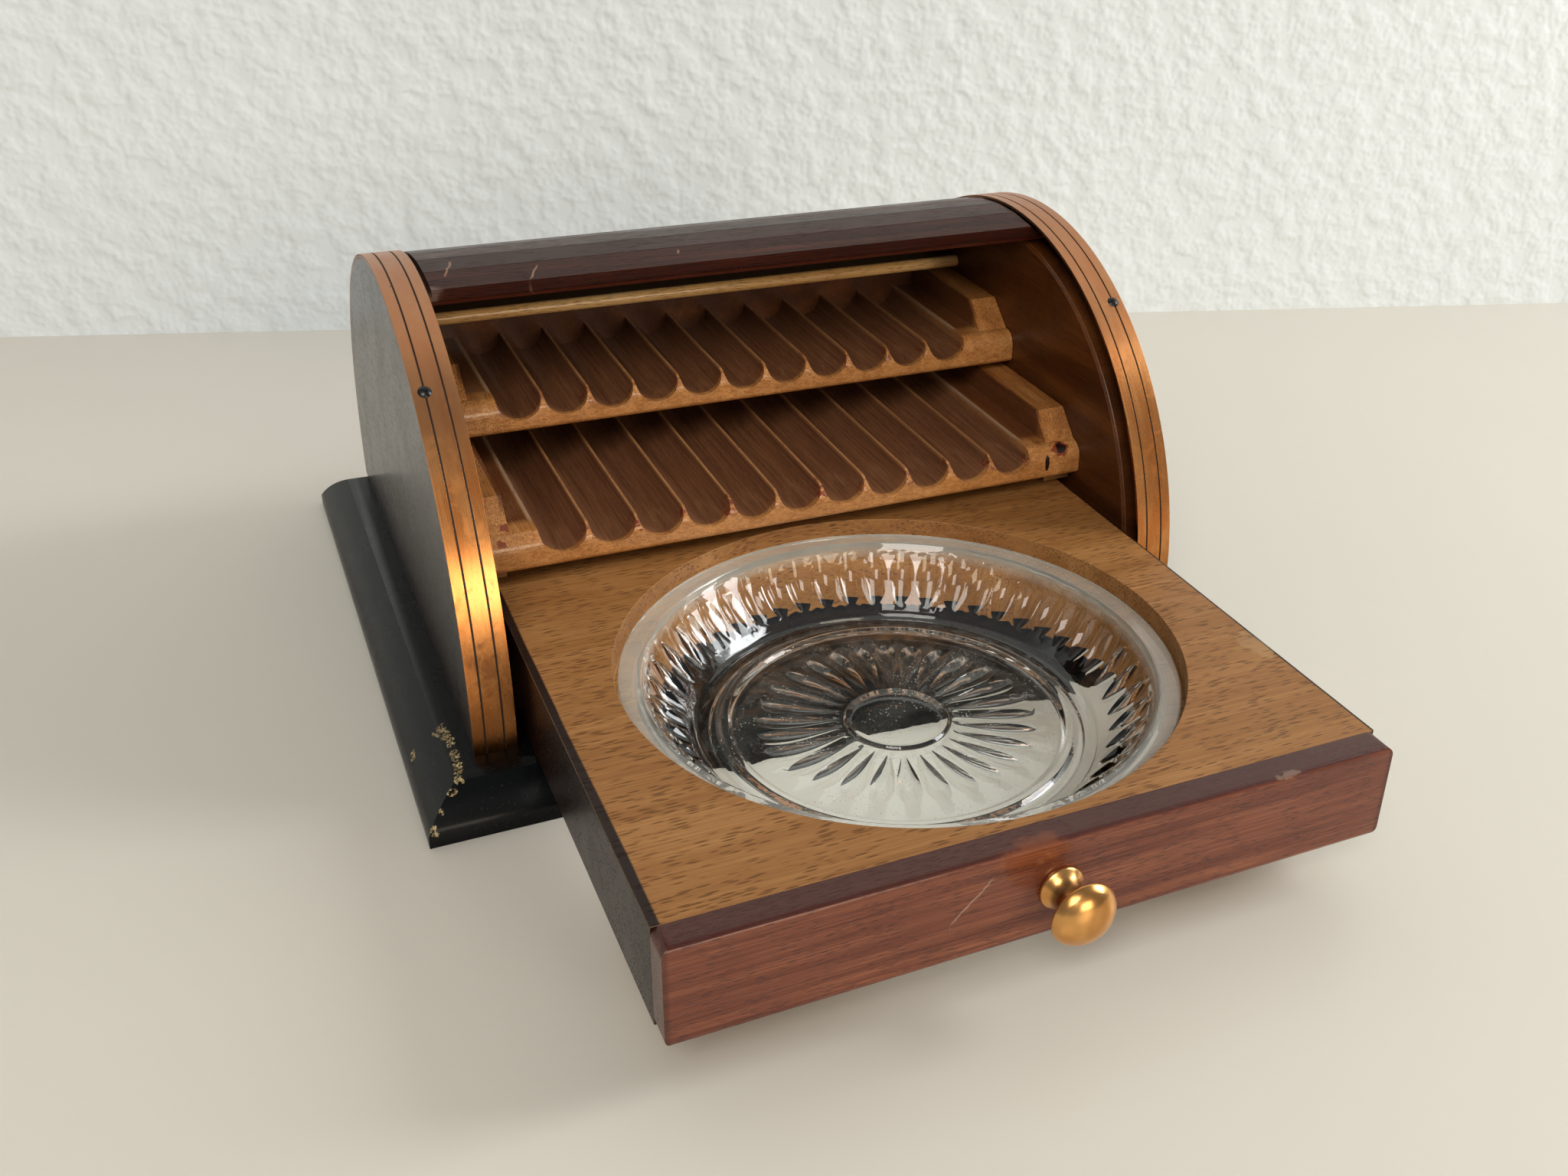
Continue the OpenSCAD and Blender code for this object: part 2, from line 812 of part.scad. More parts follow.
// Body of a slat between the angles a and b, with a tongue at each end
module slat_blank(a, b) {
    split = slat_split / 2 / slat_outer_r * 180 / PI;
    tongue_outer_r = tongue_inner_r + tongue_t;
    tongue_len = tongue_half_w - slat_half_w + tongue_root;
    across(2 * slat_half_w)
        polygon([
            round_point(slat_inner_r, a + split), round_point(slat_outer_r, a + split),
            round_point(slat_outer_r, b - split), round_point(slat_inner_r, b - split)
        ]);
    both_sides()
        translate([tongue_half_w - tongue_len / 2, 0, 0])
            across(tongue_len)
                polygon([
                    round_point(tongue_inner_r, a + split), round_point(tongue_outer_r, a + split),
                    round_point(tongue_outer_r, b - split), round_point(tongue_inner_r, b - split)
                ]);
}

module slat(i) {
    color("#3e241e")
        slat_blank(lead_angle + i * slat_pitch, lead_angle + (i + 1) * slat_pitch);
}

// First slat, chamfered under its leading edge
module lead_slat() {
    face_foot_r = slat_outer_r - lead_face_h;
    color("#5a2c20")
        difference() {
            slat_blank(lead_angle, lead_angle + slat_pitch);
            across(2 * tongue_half_w + eps)
                polygon([
                    round_point(face_foot_r, lead_angle - eps),
                    round_point(face_foot_r, lead_angle),
                    round_point(tongue_inner_r - chamfer_over, lead_angle + lead_chamfer),
                    round_point(tongue_inner_r - chamfer_over, lead_angle - eps)
                ]);
        }
}

// Cloth behind the slats, drawn as the band that it forms on the round
module canvas() {
    first = lead_angle + lead_chamfer + canvas_short;
    last = tail_angle - canvas_short;
    color("#6a5a44")
        intersection() {
            difference() {
                round_disc(canvas_r, -slat_half_w + canvas_inset, 2 * (slat_half_w - canvas_inset));
                round_disc(canvas_r - canvas_t, -slat_half_w, 2 * slat_half_w);
            }
            across(2 * slat_half_w)
                polygon(concat(
                    [round_point(0, 0)],
                    [for (a = [first, (first + last) / 2, last]) round_point(2 * case_r, a)]));
        }
}

plinth();
base_screws();
outer_board(-1);  // left_outer_board
outer_board(1);  // right_outer_board
inner_board(-1);  // left_inner_board
inner_board(1);  // right_inner_board
strip(-1);  // left_strip
strip(1);  // right_strip
strip_nails(-1);  // left_strip_nails
strip_nails(1);  // right_strip_nails
drawer_guide(-1);  // left_drawer_guide
drawer_guide(1);  // right_drawer_guide
tray_bearer(-1);  // left_tray_bearer
tray_bearer(1);  // right_tray_bearer
stop_pins();
lower_tray();
upper_tray();
tray_dowels();
back_board();
top_board();
drawer_board();
drawer_front();
glass_dish();
knob();
knob_screw();
lead_slat();
canvas();
for (i = [1:slat_count]) {
    slat(i);
}
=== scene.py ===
import json
import math
from functools import reduce
import bpy
import bmesh
from mathutils import Matrix, Vector


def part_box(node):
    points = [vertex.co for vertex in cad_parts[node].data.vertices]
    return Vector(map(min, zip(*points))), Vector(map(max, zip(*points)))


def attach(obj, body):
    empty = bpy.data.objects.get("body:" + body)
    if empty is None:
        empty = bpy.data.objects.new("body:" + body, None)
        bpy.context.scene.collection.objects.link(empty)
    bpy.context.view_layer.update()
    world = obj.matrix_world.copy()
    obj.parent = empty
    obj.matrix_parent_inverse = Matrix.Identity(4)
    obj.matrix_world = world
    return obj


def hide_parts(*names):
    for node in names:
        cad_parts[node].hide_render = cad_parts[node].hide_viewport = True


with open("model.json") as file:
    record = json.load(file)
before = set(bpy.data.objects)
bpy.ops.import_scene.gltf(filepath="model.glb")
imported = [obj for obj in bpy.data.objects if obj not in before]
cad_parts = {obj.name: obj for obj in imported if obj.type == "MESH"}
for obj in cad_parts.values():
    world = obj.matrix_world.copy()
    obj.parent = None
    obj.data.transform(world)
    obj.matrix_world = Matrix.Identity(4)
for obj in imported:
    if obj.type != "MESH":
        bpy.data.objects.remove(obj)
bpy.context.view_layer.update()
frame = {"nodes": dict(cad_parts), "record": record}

nodes = frame["nodes"]
slots = {part["node"]: part["material_slot"] for part in frame["record"]["subparts"]}
bodyOf = {name: body for body, names in frame["record"]["behaviour"]["bodies"].items() for name in names}
mm = 0.001  # looks, boxes and shader sizes are in millimetres, meshes in metres


bandLow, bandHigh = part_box("left_strip")
bandR = (bandHigh.y - bandLow.y) / 2
bandCentre = Vector((0, (bandHigh.y + bandLow.y) / 2, bandHigh.z - bandR))
roundR, roundMiddle = bandR / mm, bandCentre / mm  # the case's round, which the tambour follows


def boxMm(node):
    low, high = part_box(node)
    return low / mm, high / mm


drawerLow, drawerHigh = boxMm("drawer_board")
frontLow, frontHigh = boxMm("drawer_front")
print("frame loaded, round of", round(roundR, 1), "mm")


def seen(*colour):  # red, green and blue as the screen shows them, 0 to 255, made linear
    return tuple(((c / 255 + 0.055) / 1.055) ** 2.4 if c > 10 else c / 255 / 12.92 for c in colour)


# shader maths: one output socket, and what can be done with it
class Wire:
    def __init__(self, tree, socket=None):
        self.tree = tree
        self.socket = socket

    def node(self, kind, settings=None, values=None, out=0):
        made = self.tree.nodes.new(kind)
        for key, value in (settings or {}).items():
            if key != "stops":
                setattr(made, key, value)
                continue
            band = made.color_ramp.elements
            while len(band) > 1:
                band.remove(band[-1])
            for i, (place, colour) in enumerate(value):
                stop = band[0] if i == 0 else band.new(place)
                stop.position = place
                stop.color = (*colour, 1)
        for key, value in (values or {}).items():
            socket = made.inputs[key]
            if isinstance(value, Wire):
                self.tree.links.new(value.socket, socket)
            elif socket.type == "RGBA":
                socket.default_value = (*value, 1)
            else:
                socket.default_value = value
        return Wire(self.tree, made.outputs[out])

    def math(self, operation, *values):
        return self.node("ShaderNodeMath", {"operation": operation}, dict(enumerate(values)))

    def vector(self, operation, *values, out=0):
        return self.node("ShaderNodeVectorMath", {"operation": operation}, dict(enumerate(values)), out)

    def __add__(self, other):
        return self.math("ADD", self, other)

    def __sub__(self, other):
        return self.math("SUBTRACT", self, other)

    def __rsub__(self, other):
        return self.math("SUBTRACT", other, self)

    def __mul__(self, other):
        return self.math("MULTIPLY", self, other)

    __radd__ = __add__
    __rmul__ = __mul__

    def between(self, low, high):  # 0 under low, 1 over high, smooth in the middle
        return self.node("ShaderNodeMapRange", {"interpolation_type": "SMOOTHSTEP"},
                         {"Value": self, "From Min": low, "From Max": high})

    def mix(self, first, second):  # this wire is the factor
        return self.node("ShaderNodeMix", {"data_type": "RGBA"}, {0: self, 6: first, 7: second}, 2)

    def size(self):  # without its sign
        return self.math("ABSOLUTE", self)

    def most(self, other):
        return self.math("MAXIMUM", self, other)

    def axis(self, letter):  # a coordinate in millimetres
        return self.node("ShaderNodeSeparateXYZ", None, {0: self}, letter) * (1 / mm)

    def far(self, centre, reach):  # distance from a point, where reach is 1 on each axis
        off = self.vector("SUBTRACT", self, [c * mm for c in centre])
        return self.vector("LENGTH", self.vector("MULTIPLY", off, [1 / (r * mm) for r in reach]), out="Value")

    def laid(self, sizes, shift):  # coordinates that grow by 1 over a feature of these sizes
        sizes = sizes if isinstance(sizes, (tuple, list)) else (sizes, sizes, sizes)
        return self.node("ShaderNodeMapping", None, {"Vector": self, "Scale": [1 / (s * mm) for s in sizes],
                                                     "Location": (shift, shift, shift)})

    def noise(self, sizes, detail=2, roughness=0.5, swirl=0, shift=0):
        return self.node("ShaderNodeTexNoise", None, {
            "Vector": self.laid(sizes, shift), "Scale": 1, "Detail": detail, "Roughness": roughness,
            "Distortion": swirl})

    def cells(self, sizes, shift=0):  # distance to the nearest of many scattered points
        return self.node("ShaderNodeTexVoronoi", None, {
            "Vector": self.laid(sizes, shift), "Scale": 1, "Randomness": 1})


def newFinish(name):
    finish = bpy.data.materials.new(name)
    finish.use_nodes = True
    finish.node_tree.nodes.clear()
    return finish, Wire(finish.node_tree).node("ShaderNodeTexCoord", None, None, "Object")


def bump(place, height, depth):
    return place.node("ShaderNodeBump", None, {"Strength": 1, "Distance": depth * mm, "Height": height})


def paint(place, values, height, depth):
    return place.node("ShaderNodeBsdfPrincipled", None, {**values, "Normal": bump(place, height, depth)})


def shown(place, shader):
    made = place.tree.nodes.new("ShaderNodeOutputMaterial")
    place.tree.links.new(shader.socket, made.inputs["Surface"])


def wornEdge(place):  # 1 on the eased arrises of a softened piece
    source = {"attribute_type": "GEOMETRY", "attribute_name": "edge"}
    return place.node("ShaderNodeAttribute", source, None, "Fac")


def along(axis, length, width):
    sizes = [width, width, width]
    sizes[axis] = length
    return sizes


woodPattern = {
    "stops": (0.2, 0.5, 0.8), "smearSize": 14, "smearSpan": (0.45, 0.75), "groupSize": 5,
    "groupSpan": (0.3, 0.5), "fleckStart": 0.2, "fleckRough": 0.12, "fleckDepth": 0.8, "fibreDepth": 0.5,
    "chipSize": 2.2, "chipPull": 0.9, "wearSpan": (1.0, 1.45), "wearRough": 0.2}


def woodFinish(name, look, extra=None):
    finish, place = newFinish(name)
    wood, grain = woodPattern, look["grain"]
    rings = place.noise(along(grain, look["ringLength"], look["ringWidth"]), 3, 0.55, 0.4)
    fibre = place.noise(along(grain, look["fibreLength"], look["fibreWidth"]), 3, 0.6, 0, 3)
    tone = 0.5 + (rings - 0.5) * look["ringPull"] + (fibre - 0.5) * look["fibrePull"]
    body = tone.node("ShaderNodeValToRGB", {"stops": list(zip(wood["stops"], look["tones"]))}, {0: tone})
    smear = place.noise(wood["smearSize"], 3, 0.6, 0.5, 5)
    body = (smear.between(*wood["smearSpan"]) * look["smearPull"]).mix(body, look["smear"])
    fleck = place.cells(along(grain, look["fleckLength"], look["fleckWidth"]))
    fleck = 1 - fleck.between(wood["fleckStart"], look["fleckReach"])
    fleck = fleck * place.noise(wood["groupSize"], 1, 0.5, 0, 9).between(*wood["groupSpan"])
    body = (fleck * look["fleckPull"]).mix(body, look["fleck"])
    rough = look["rough"] + (smear - 0.5) * look["roughPull"] + fleck * wood["fleckRough"]
    height = (fibre - 0.5) * wood["fibreDepth"] - fleck * wood["fleckDepth"]
    if extra:
        body, rough, height = extra(place, body, rough, height)
    chip = place.noise(wood["chipSize"], 3, 0.65, 0, 2)
    wear = (wornEdge(place) + chip * wood["chipPull"]).between(*wood["wearSpan"]) * look["wearPull"]
    body, rough = wear.mix(body, look["wear"]), rough + wear * wood["wearRough"]
    shown(place, paint(place, {"Base Color": body, "Roughness": rough, "Specular IOR Level": look["shine"],
                               "Coat Weight": look["coat"], "Coat Roughness": look["coatRough"]},
                       height, look["depth"]))
    return finish


def patch(place, centre, reach, ragged=0.5, size=3, shift=0):  # soft-edged spot at a point
    wobble = (place.noise(size, 3, 0.6, 0, shift) - 0.5) * ragged
    return 1 - (place.far(centre, reach) + wobble).between(0.6, 1.05)


# pieces
def finished(name, shape, body, slotName, finish, *replaced):
    mesh = bpy.data.meshes.new(name)
    shape.to_mesh(mesh)
    shape.free()
    mesh.materials.append(finish)
    made = bpy.data.objects.new(name, mesh)
    bpy.context.scene.collection.objects.link(made)
    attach(made, body)
    if replaced:
        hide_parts(*replaced)
    return made


def smoothed(shape, limit):
    for face in shape.faces:
        face.smooth = True
    for edge in shape.edges:
        edge.smooth = len(edge.link_faces) == 2 and edge.calc_face_angle(0) < math.radians(limit)


softening = {"weld": 0.002, "flat": 0.3, "corner": 40, "smooth": 35, "segments": 3}


def softened(node, look, finish):  # the CAD piece with its arrises eased, and a mark on them for wear
    shape = bmesh.new()
    shape.from_mesh(nodes[node].data)
    for layer in list(shape.loops.layers.uv):
        shape.loops.layers.uv.remove(layer)
    bmesh.ops.remove_doubles(shape, verts=shape.verts, dist=softening["weld"] * mm)
    bmesh.ops.dissolve_limit(shape, angle_limit=math.radians(softening["flat"]), verts=shape.verts,
                             edges=shape.edges)
    worn = shape.verts.layers.float.new("edge")
    corner = math.radians(look.get("corner", softening["corner"]))
    arris = [e for e in shape.edges if len(e.link_faces) == 2 and e.calc_face_angle(0) > corner]
    eased = bmesh.ops.bevel(shape, geom=arris, offset=look["ease"] * mm, offset_type="OFFSET", profile=0.5,
                            segments=softening["segments"], affect="EDGES", clamp_overlap=True, material=-1)
    new = set(eased["faces"])
    for vert in {v for face in new for v in face.verts}:
        vert[worn] = 1 if all(face in new for face in vert.link_faces) else 0
    for face in shape.faces:
        face.material_index = 0
    smoothed(shape, softening["smooth"])
    made = finished(node + "_eased", shape, bodyOf[node], slots[node], finish, node)
    if "custom_normal" in made.data.attributes:
        made.data.attributes.remove(made.data.attributes["custom_normal"])
    weighted = made.modifiers.new("even normals", "WEIGHTED_NORMAL")
    weighted.keep_sharp = True


def rounded(points, steps=3):  # a profile of (radius, height, bend) with each bend turned into a few points
    line = []
    for i, (x, z, bend) in enumerate(points):
        here = Vector((x, z))
        if not bend or i in (0, len(points) - 1):
            line.append(here)
            continue
        before = (Vector(points[i - 1][:2]) - here).normalized()
        after = (Vector(points[i + 1][:2]) - here).normalized()
        for k in range(steps + 1):
            t = k / steps
            line.append(here + before * bend * (1 - t) ** 2 + after * bend * t ** 2)
    return line


def profile(shape, line):  # the line of (radius, height) as an open row of edges, ready to be turned
    verts = [shape.verts.new((p.x * mm, 0, p.y * mm)) for p in line]
    for pair in zip(verts, verts[1:]):
        shape.edges.new(pair)
    return verts


def turned(shape, steps):
    bmesh.ops.spin(shape, geom=shape.verts[:] + shape.edges[:], cent=(0, 0, 0), axis=(0, 0, 1),
                   dvec=(0, 0, 0), angle=math.tau, steps=steps, use_merge=True, use_normal_flip=False,
                   use_duplicate=False)
    bmesh.ops.remove_doubles(shape, verts=shape.verts, dist=0.0005 * mm)
    bmesh.ops.recalc_face_normals(shape, faces=shape.faces)


def assigned(node, finish):  # a CAD piece that keeps its shape
    mesh = nodes[node].data
    mesh.materials.clear()
    mesh.materials.append(finish)


# plinth: black gloss lacquer, chipped along the front left mitre
plinthLook = {
    "ease": 0.35, "lacquer": seen(6, 7, 8), "hazed": seen(11, 13, 14), "edge": seen(70, 66, 58),
    "dust": seen(110, 110, 106), "dustPull": 0.12, "chip": seen(208, 190, 146),
    "chipDeep": seen(150, 122, 78), "rough": 0.2, "shine": 0.14, "coat": 0.05, "coatRough": 0.08,
    "depth": 0.2,
    # each chip's middle and reach
    "chips": (((-75.9, -48.4, 8.3), (1.7, 1.9, 0.9)), ((-75.0, -50.6, 8.6), (1.2, 1.8, 0.9)),
              ((-74.6, -53.6, 8.8), (1.0, 2.0, 0.9)), ((-74.7, -57.6, 8.8), (0.9, 2.3, 0.9)),
              ((-75.0, -61.4, 8.7), (1.1, 2.0, 0.9)), ((-75.4, -64.4, 8.2), (1.1, 1.2, 1.0)),
              ((-77.0, -66.1, 7.3), (1.0, 0.8, 1.2)), ((-79.3, -68.4, 5.2), (0.5, 0.5, 1.2)),
              ((-81.3, -70.2, 3.0), (1.0, 0.7, 1.4)), ((-80.9, -48.8, 4.3), (1.0, 1.4, 0.9)))}


def lacquerFinish():
    look = plinthLook
    finish, place = newFinish("black lacquer")
    grit = place.noise(0.6, 3, 0.7, 0, 4)
    chips = [patch(place, centre, reach, 1.9, 1.3, number).between(0.3, 0.42)
             for number, (centre, reach) in enumerate(look["chips"])]
    bare = reduce(Wire.most, chips) * place.noise(0.8, 4, 0.75, 0.5, 6).between(0.47, 0.53)
    run = place.noise(1.8, 4, 0.7, 0.3, 1)
    edge = (wornEdge(place) + run * 0.9).between(1.3, 1.5) * 0.5
    body = place.noise(20, 3, 0.6, 0, 8).mix(look["lacquer"], look["hazed"])
    body = edge.mix(body, look["edge"])
    body = bare.mix(body, grit.between(0.4, 0.6).mix(look["chip"], look["chipDeep"]))
    dust = place.noise(0.5, 1, 0.5).between(0.68, 0.76)
    body = (dust * look["dustPull"]).mix(body, look["dust"])
    smudge = place.noise(12, 4, 0.65, 0.8, 2)
    rough = look["rough"] + smudge * 0.16 + bare * 0.5 + dust * 0.2
    shown(place, paint(place, {"Base Color": body, "Roughness": rough, "Specular IOR Level": look["shine"],
                               "Coat Weight": look["coat"], "Coat Roughness": look["coatRough"]},
                       smudge * 0.1 + grit * 0.06 - bare, look["depth"]))
    return finish


softened("plinth", plinthLook, lacquerFinish())
print("plinth done")

# case boards
outerLook = {
    "ease": 0.5, "grain": 1, "ringLength": 90, "ringWidth": 6, "fibreLength": 20, "fibreWidth": 0.4,
    "ringPull": 1.1, "fibrePull": 0.5, "tones": (seen(16, 8, 8), seen(30, 14, 13), seen(46, 22, 19)),
    "smear": seen(24, 12, 12), "smearPull": 0.5, "fleckLength": 4, "fleckWidth": 0.4, "fleckReach": 0.4,
    "fleckPull": 0.5, "fleck": seen(10, 5, 5), "rough": 0.3, "roughPull": 0.2, "wear": seen(92, 54, 38),
    "wearPull": 0.4, "shine": 0.24, "coat": 0.2, "coatRough": 0.12, "depth": 0.05}
innerLook = {
    **outerLook, "ease": 0.3, "ringWidth": 9, "tones": (seen(58, 28, 9), seen(82, 42, 14), seen(112, 64, 26)),
    "smear": seen(60, 28, 10), "fleck": seen(38, 18, 8), "fleckPull": 0.35, "rough": 0.4,
    "wear": seen(150, 92, 44), "wearPull": 0.35, "coat": 0.25, "coatRough": 0.24}
hiddenLook = {
    **outerLook, "tones": (seen(110, 72, 40), seen(146, 100, 58), seen(172, 128, 82)), "rough": 0.6,
    "coat": 0.0, "smear": seen(110, 76, 46), "fleck": seen(84, 52, 28), "wear": seen(140, 96, 56)}
outerWood = woodFinish("dark side wood", outerLook)
innerWood = woodFinish("brown inner wood", innerLook)
plainWood = woodFinish("plain hidden wood", hiddenLook)
for side in ("left", "right"):
    softened(side + "_outer_board", outerLook, outerWood)
    softened(side + "_inner_board", innerLook, innerWood)
    assigned(side + "_drawer_guide", plainWood)
    assigned(side + "_tray_bearer", plainWood)
for name in ("stop_pins", "tray_dowels"):
    assigned(name, plainWood)
softened("back_board", innerLook, innerWood)
print("case boards done")

# metal: the copper bands with two engraved lines, nails and screws
bandLook = {
    "ease": 0.12, "metal": seen(198, 122, 64), "deep": seen(160, 90, 44), "pale": seen(216, 148, 88),
    # pink: painted reflection, the pale wall as if reflected on the bands' upper part
    "pink": seen(172, 128, 104), "dull": seen(92, 56, 38), "foot": seen(112, 68, 34),
    # under: painted shade for the bands' sides and underside
    "engraved": seen(44, 26, 16), "under": seen(58, 34, 24), "rough": 0.27, "depth": 0.02,
    "brush": (0.14, 14, 14), "broad": (4, 16, 16), "stainSize": 4, "speckSize": 4.2, "speckGroups": 12,
    # painted shade on the next line: the foot span darkens both bands towards the foot, and the last entry is
    # a darker patch at the left band's foot
    "wallReflectionSpan": (52, 80), "shadedFootSpan": (16, 30), "footShadeAndSpecks": ((-68, -58, 27), (4, 12, 5.5), 1.9, 4.5, 2),
    "lineIn": (0.3, 0.25), "lineOut": (0.17, 0.1), "underside": (0.5, 0.42)}


def bandFinish():
    look = bandLook
    finish, place = newFinish("copper band")
    brush = place.noise(look["brush"], 2, 0.6)
    broad = place.noise(look["broad"], 3, 0.6, 0.4, 4)
    stain = place.noise(look["stainSize"], 4, 0.7, 0.6, 7)
    speck = 1 - place.cells(look["speckSize"], 3).between(0.04, 0.1)
    speck = speck * place.noise(look["speckGroups"], 1).between(0.55, 0.62)
    body = broad.between(0.3, 0.7).mix(look["metal"], look["pale"])
    body = (stain.between(0.55, 0.75) * 0.35).mix(body, look["deep"])
    # painted reflection: the upper part of each band turns greyish pink, standing in for the pale wall it
    # reflects
    high = place.axis("Z").between(*look["wallReflectionSpan"])
    body = (high * (0.45 + broad * 0.4)).mix(body, look["pink"])
    # painted shade: a dull dark patch at the left band's foot stands in for the shaded table it reflects;
    # real dark specks join it
    footShadeAndSpecks = patch(place, *look["footShadeAndSpecks"]) * stain.between(0.35, 0.6)
    footShadeAndSpecks = (footShadeAndSpecks * 0.6).most(speck * 0.6)
    body = footShadeAndSpecks.mix(body, look["dull"])
    # painted shade: both bands darken towards the foot, standing in for the shaded table they reflect
    low = 1 - (place.axis("Z") + stain * 6).between(*look["shadedFootSpan"])
    body = (low * 0.7).mix(body, look["foot"])
    radius = place.far(roundMiddle, (1e9, 1, 1))
    line = radius.between(*(roundR - d for d in look["lineIn"]))
    line = line * (1 - radius.between(*(roundR - d for d in look["lineOut"])))
    # painted shade: below the outer face, the band's sides and underside are darkened
    under = 1 - radius.between(*(roundR - d for d in look["underside"]))
    body = line.mix(body, look["engraved"])
    body = (under * 0.75).mix(body, look["under"])
    edge = (wornEdge(place) + stain * 0.5).between(0.8, 1.3)
    body = (edge * 0.5).mix(body, look["pale"])
    rough = look["rough"] + (brush - 0.5) * 0.1 + high * 0.08 + footShadeAndSpecks * 0.25
    rough = rough + stain.between(0.5, 0.7) * 0.08 + line * 0.3
    shown(place, paint(place, {"Base Color": body, "Metallic": 1 - line * 0.8, "Roughness": rough},
                       brush * 0.4 + stain * 0.3 - speck * 0.4, look["depth"]))
    return finish


screwLook = {"haze": 0.6, "roughPull": 0.2, "depth": 0.02}


def metalFinish(name, tone, pale, metallic, rough):
    look = screwLook
    finish, place = newFinish(name)
    haze = place.noise(look["haze"], 3, 0.6)
    body = haze.between(0.4, 0.75).mix(tone, pale)
    values = {"Base Color": body, "Metallic": metallic, "Roughness": rough + haze * look["roughPull"]}
    shown(place, paint(place, values, haze, look["depth"]))
    return finish


copperBand = bandFinish()
nailSteel = metalFinish("black nail steel", seen(22, 22, 24), seen(70, 68, 66), 0.7, 0.18)
for side in ("left", "right"):
    softened(side + "_strip", bandLook, copperBand)
    assigned(side + "_strip_nails", nailSteel)
assigned("base_screws", metalFinish("screw brass", seen(176, 138, 74), seen(206, 170, 104), 1.0, 0.25))
assigned("knob_screw", metalFinish("screw steel", seen(150, 150, 150), seen(190, 190, 190), 1.0, 0.3))
print("metal done")

# trays: stained grooves, pale crests, a rounded front edge with drips of stain
trayLook = {
    "ease": 0.35, "grain": 1, "ringLength": 50, "ringWidth": 3.5, "fibreLength": 12, "fibreWidth": 0.3,
    "ringPull": 0.8, "fibrePull": 0.8, "tones": (seen(122, 74, 34), seen(172, 112, 58), seen(206, 150, 90)),
    "smear": seen(138, 78, 38), "smearPull": 0.3, "fleckLength": 2.4, "fleckWidth": 0.3, "fleckReach": 0.42,
    "fleckPull": 0.4, "fleck": seen(96, 54, 26), "rough": 0.36, "roughPull": 0.2, "wear": seen(222, 176, 118),
    "wearPull": 0.3, "coat": 0.5, "coatRough": 0.1, "depth": 0.09, "shine": 0.3,
    # nose and noseDeep: the rounded front is lighter beech, mottled partly with painted highlights
    "grooveDark": seen(90, 51, 29), "grooveLight": seen(130, 84, 53), "nose": seen(206, 146, 84),
    # on this line the last colour, and the pale colour below, paint a shaded hollow and its lit crest beside
    # the last groove: painted shade and painted highlight
    "noseDeep": seen(156, 98, 50), "crest": seen(158, 112, 74), "shadedHollow": seen(88, 46, 26),
    "pale": seen(176, 148, 122), "stain": seen(112, 26, 16), "crack": seen(30, 10, 8),
    "ringed": seen(118, 34, 20), "boardTop": 7, "grooved": 52.2, "rawFront": (0.7, 1.7), "noseSpan": (1.8, 4),
    "besideSpan": (5, 8), "cheek": (5.3, 5.8), "dripDepth": (3.4, 2.2), "dripSpan": (3.2, 6)}


def grooveMarks(place, body, rough, height, low):  # low is the tray's lowest corner
    look = trayLook
    edge, top = look["grooved"], low.z + look["boardTop"]
    side, front, z = place.axis("X").size(), place.axis("Y") - low.y, place.axis("Z")
    inside = 1 - side.between(edge - 0.7, edge)
    sunk = 1 - z.between(top - 0.75, top - 0.2)
    raw = sunk * front.between(*look["rawFront"]) * inside
    streak = place.noise((0.5, 22, 0.5), 4, 0.7, 0.2, 6)
    hair = place.noise((0.25, 8, 0.25), 2, 0.6, 0, 8)
    inner = streak.between(0.25, 0.75).mix(look["grooveDark"], look["grooveLight"])
    inner = (hair.between(0.52, 0.7) * 0.12).mix(inner, look["grooveDark"])
    flat = front.between(*look["noseSpan"])
    # the rounded front is lighter beech, mottled by this noise into fine marks and painted highlights
    marksAndGlints = place.noise((1.2, 0.6, 0.6), 4, 0.7, 0.6, 4).between(0.38, 0.6)
    body = ((1 - flat) * 0.45).mix(body, marksAndGlints.mix(look["noseDeep"], look["nose"]))
    body = (flat * inside * 0.8).mix(body, look["crest"])
    body = (raw * 0.92).mix(body, inner)
    # painted shade and painted highlight: beside the last groove a flat strip is darkened like a shaded
    # hollow the mesh lacks, with a pale line along its edge as a lit crest
    beside = front.between(*look["besideSpan"])
    shadedHollow = side.between(edge, edge + 1) * (1 - side.between(*(edge + d for d in look["cheek"])))
    body = (shadedHollow * beside * 0.85).mix(body, look["shadedHollow"])
    line = side.between(edge - 0.5, edge - 0.1) * (1 - side.between(edge + 0.3, edge + 0.7))
    body = (line * (1 - sunk) * beside * 0.7).mix(body, look["pale"])
    rim = z.between(*(top - d for d in look["dripDepth"])) * (1 - front.between(*look["dripSpan"])) * inside
    drip = rim * place.noise(1.1, 4, 0.7, 0.8, 3).between(0.5, 0.6)
    drip = drip * place.noise(7, 2, 0.5, 0, 2).between(0.4, 0.54)
    body = (drip * 0.9).mix(body, look["stain"])
    return body, rough + raw * 0.3 - drip * 0.15, height + drip * 0.3 + raw * (hair - 0.5)


def crackMarks(place, body, height, marks):  # a knot and a split with stains round them
    look = trayLook
    knot = patch(place, marks["knot"], (1.3, 1.6, 1.1), 1.6, 1.2).between(0.3, 0.45)
    split = patch(place, marks["split"], (0.55, 2, 2.2), 0.9, 0.8).between(0.3, 0.45)
    ringed = patch(place, marks["knot"], (2.2, 2.6, 2), 1.6, 1.2).between(0.3, 0.6)
    stains = [patch(place, spot, (1.1, 1.1, 0.9), 2.0, 0.8, number).between(0.35, 0.5)
              for number, spot in enumerate(marks["stains"])]
    body = (reduce(Wire.most, stains, ringed) * 0.8).mix(body, look["ringed"])
    return knot.most(split).mix(body, look["crack"]), height - split - knot * 0.5


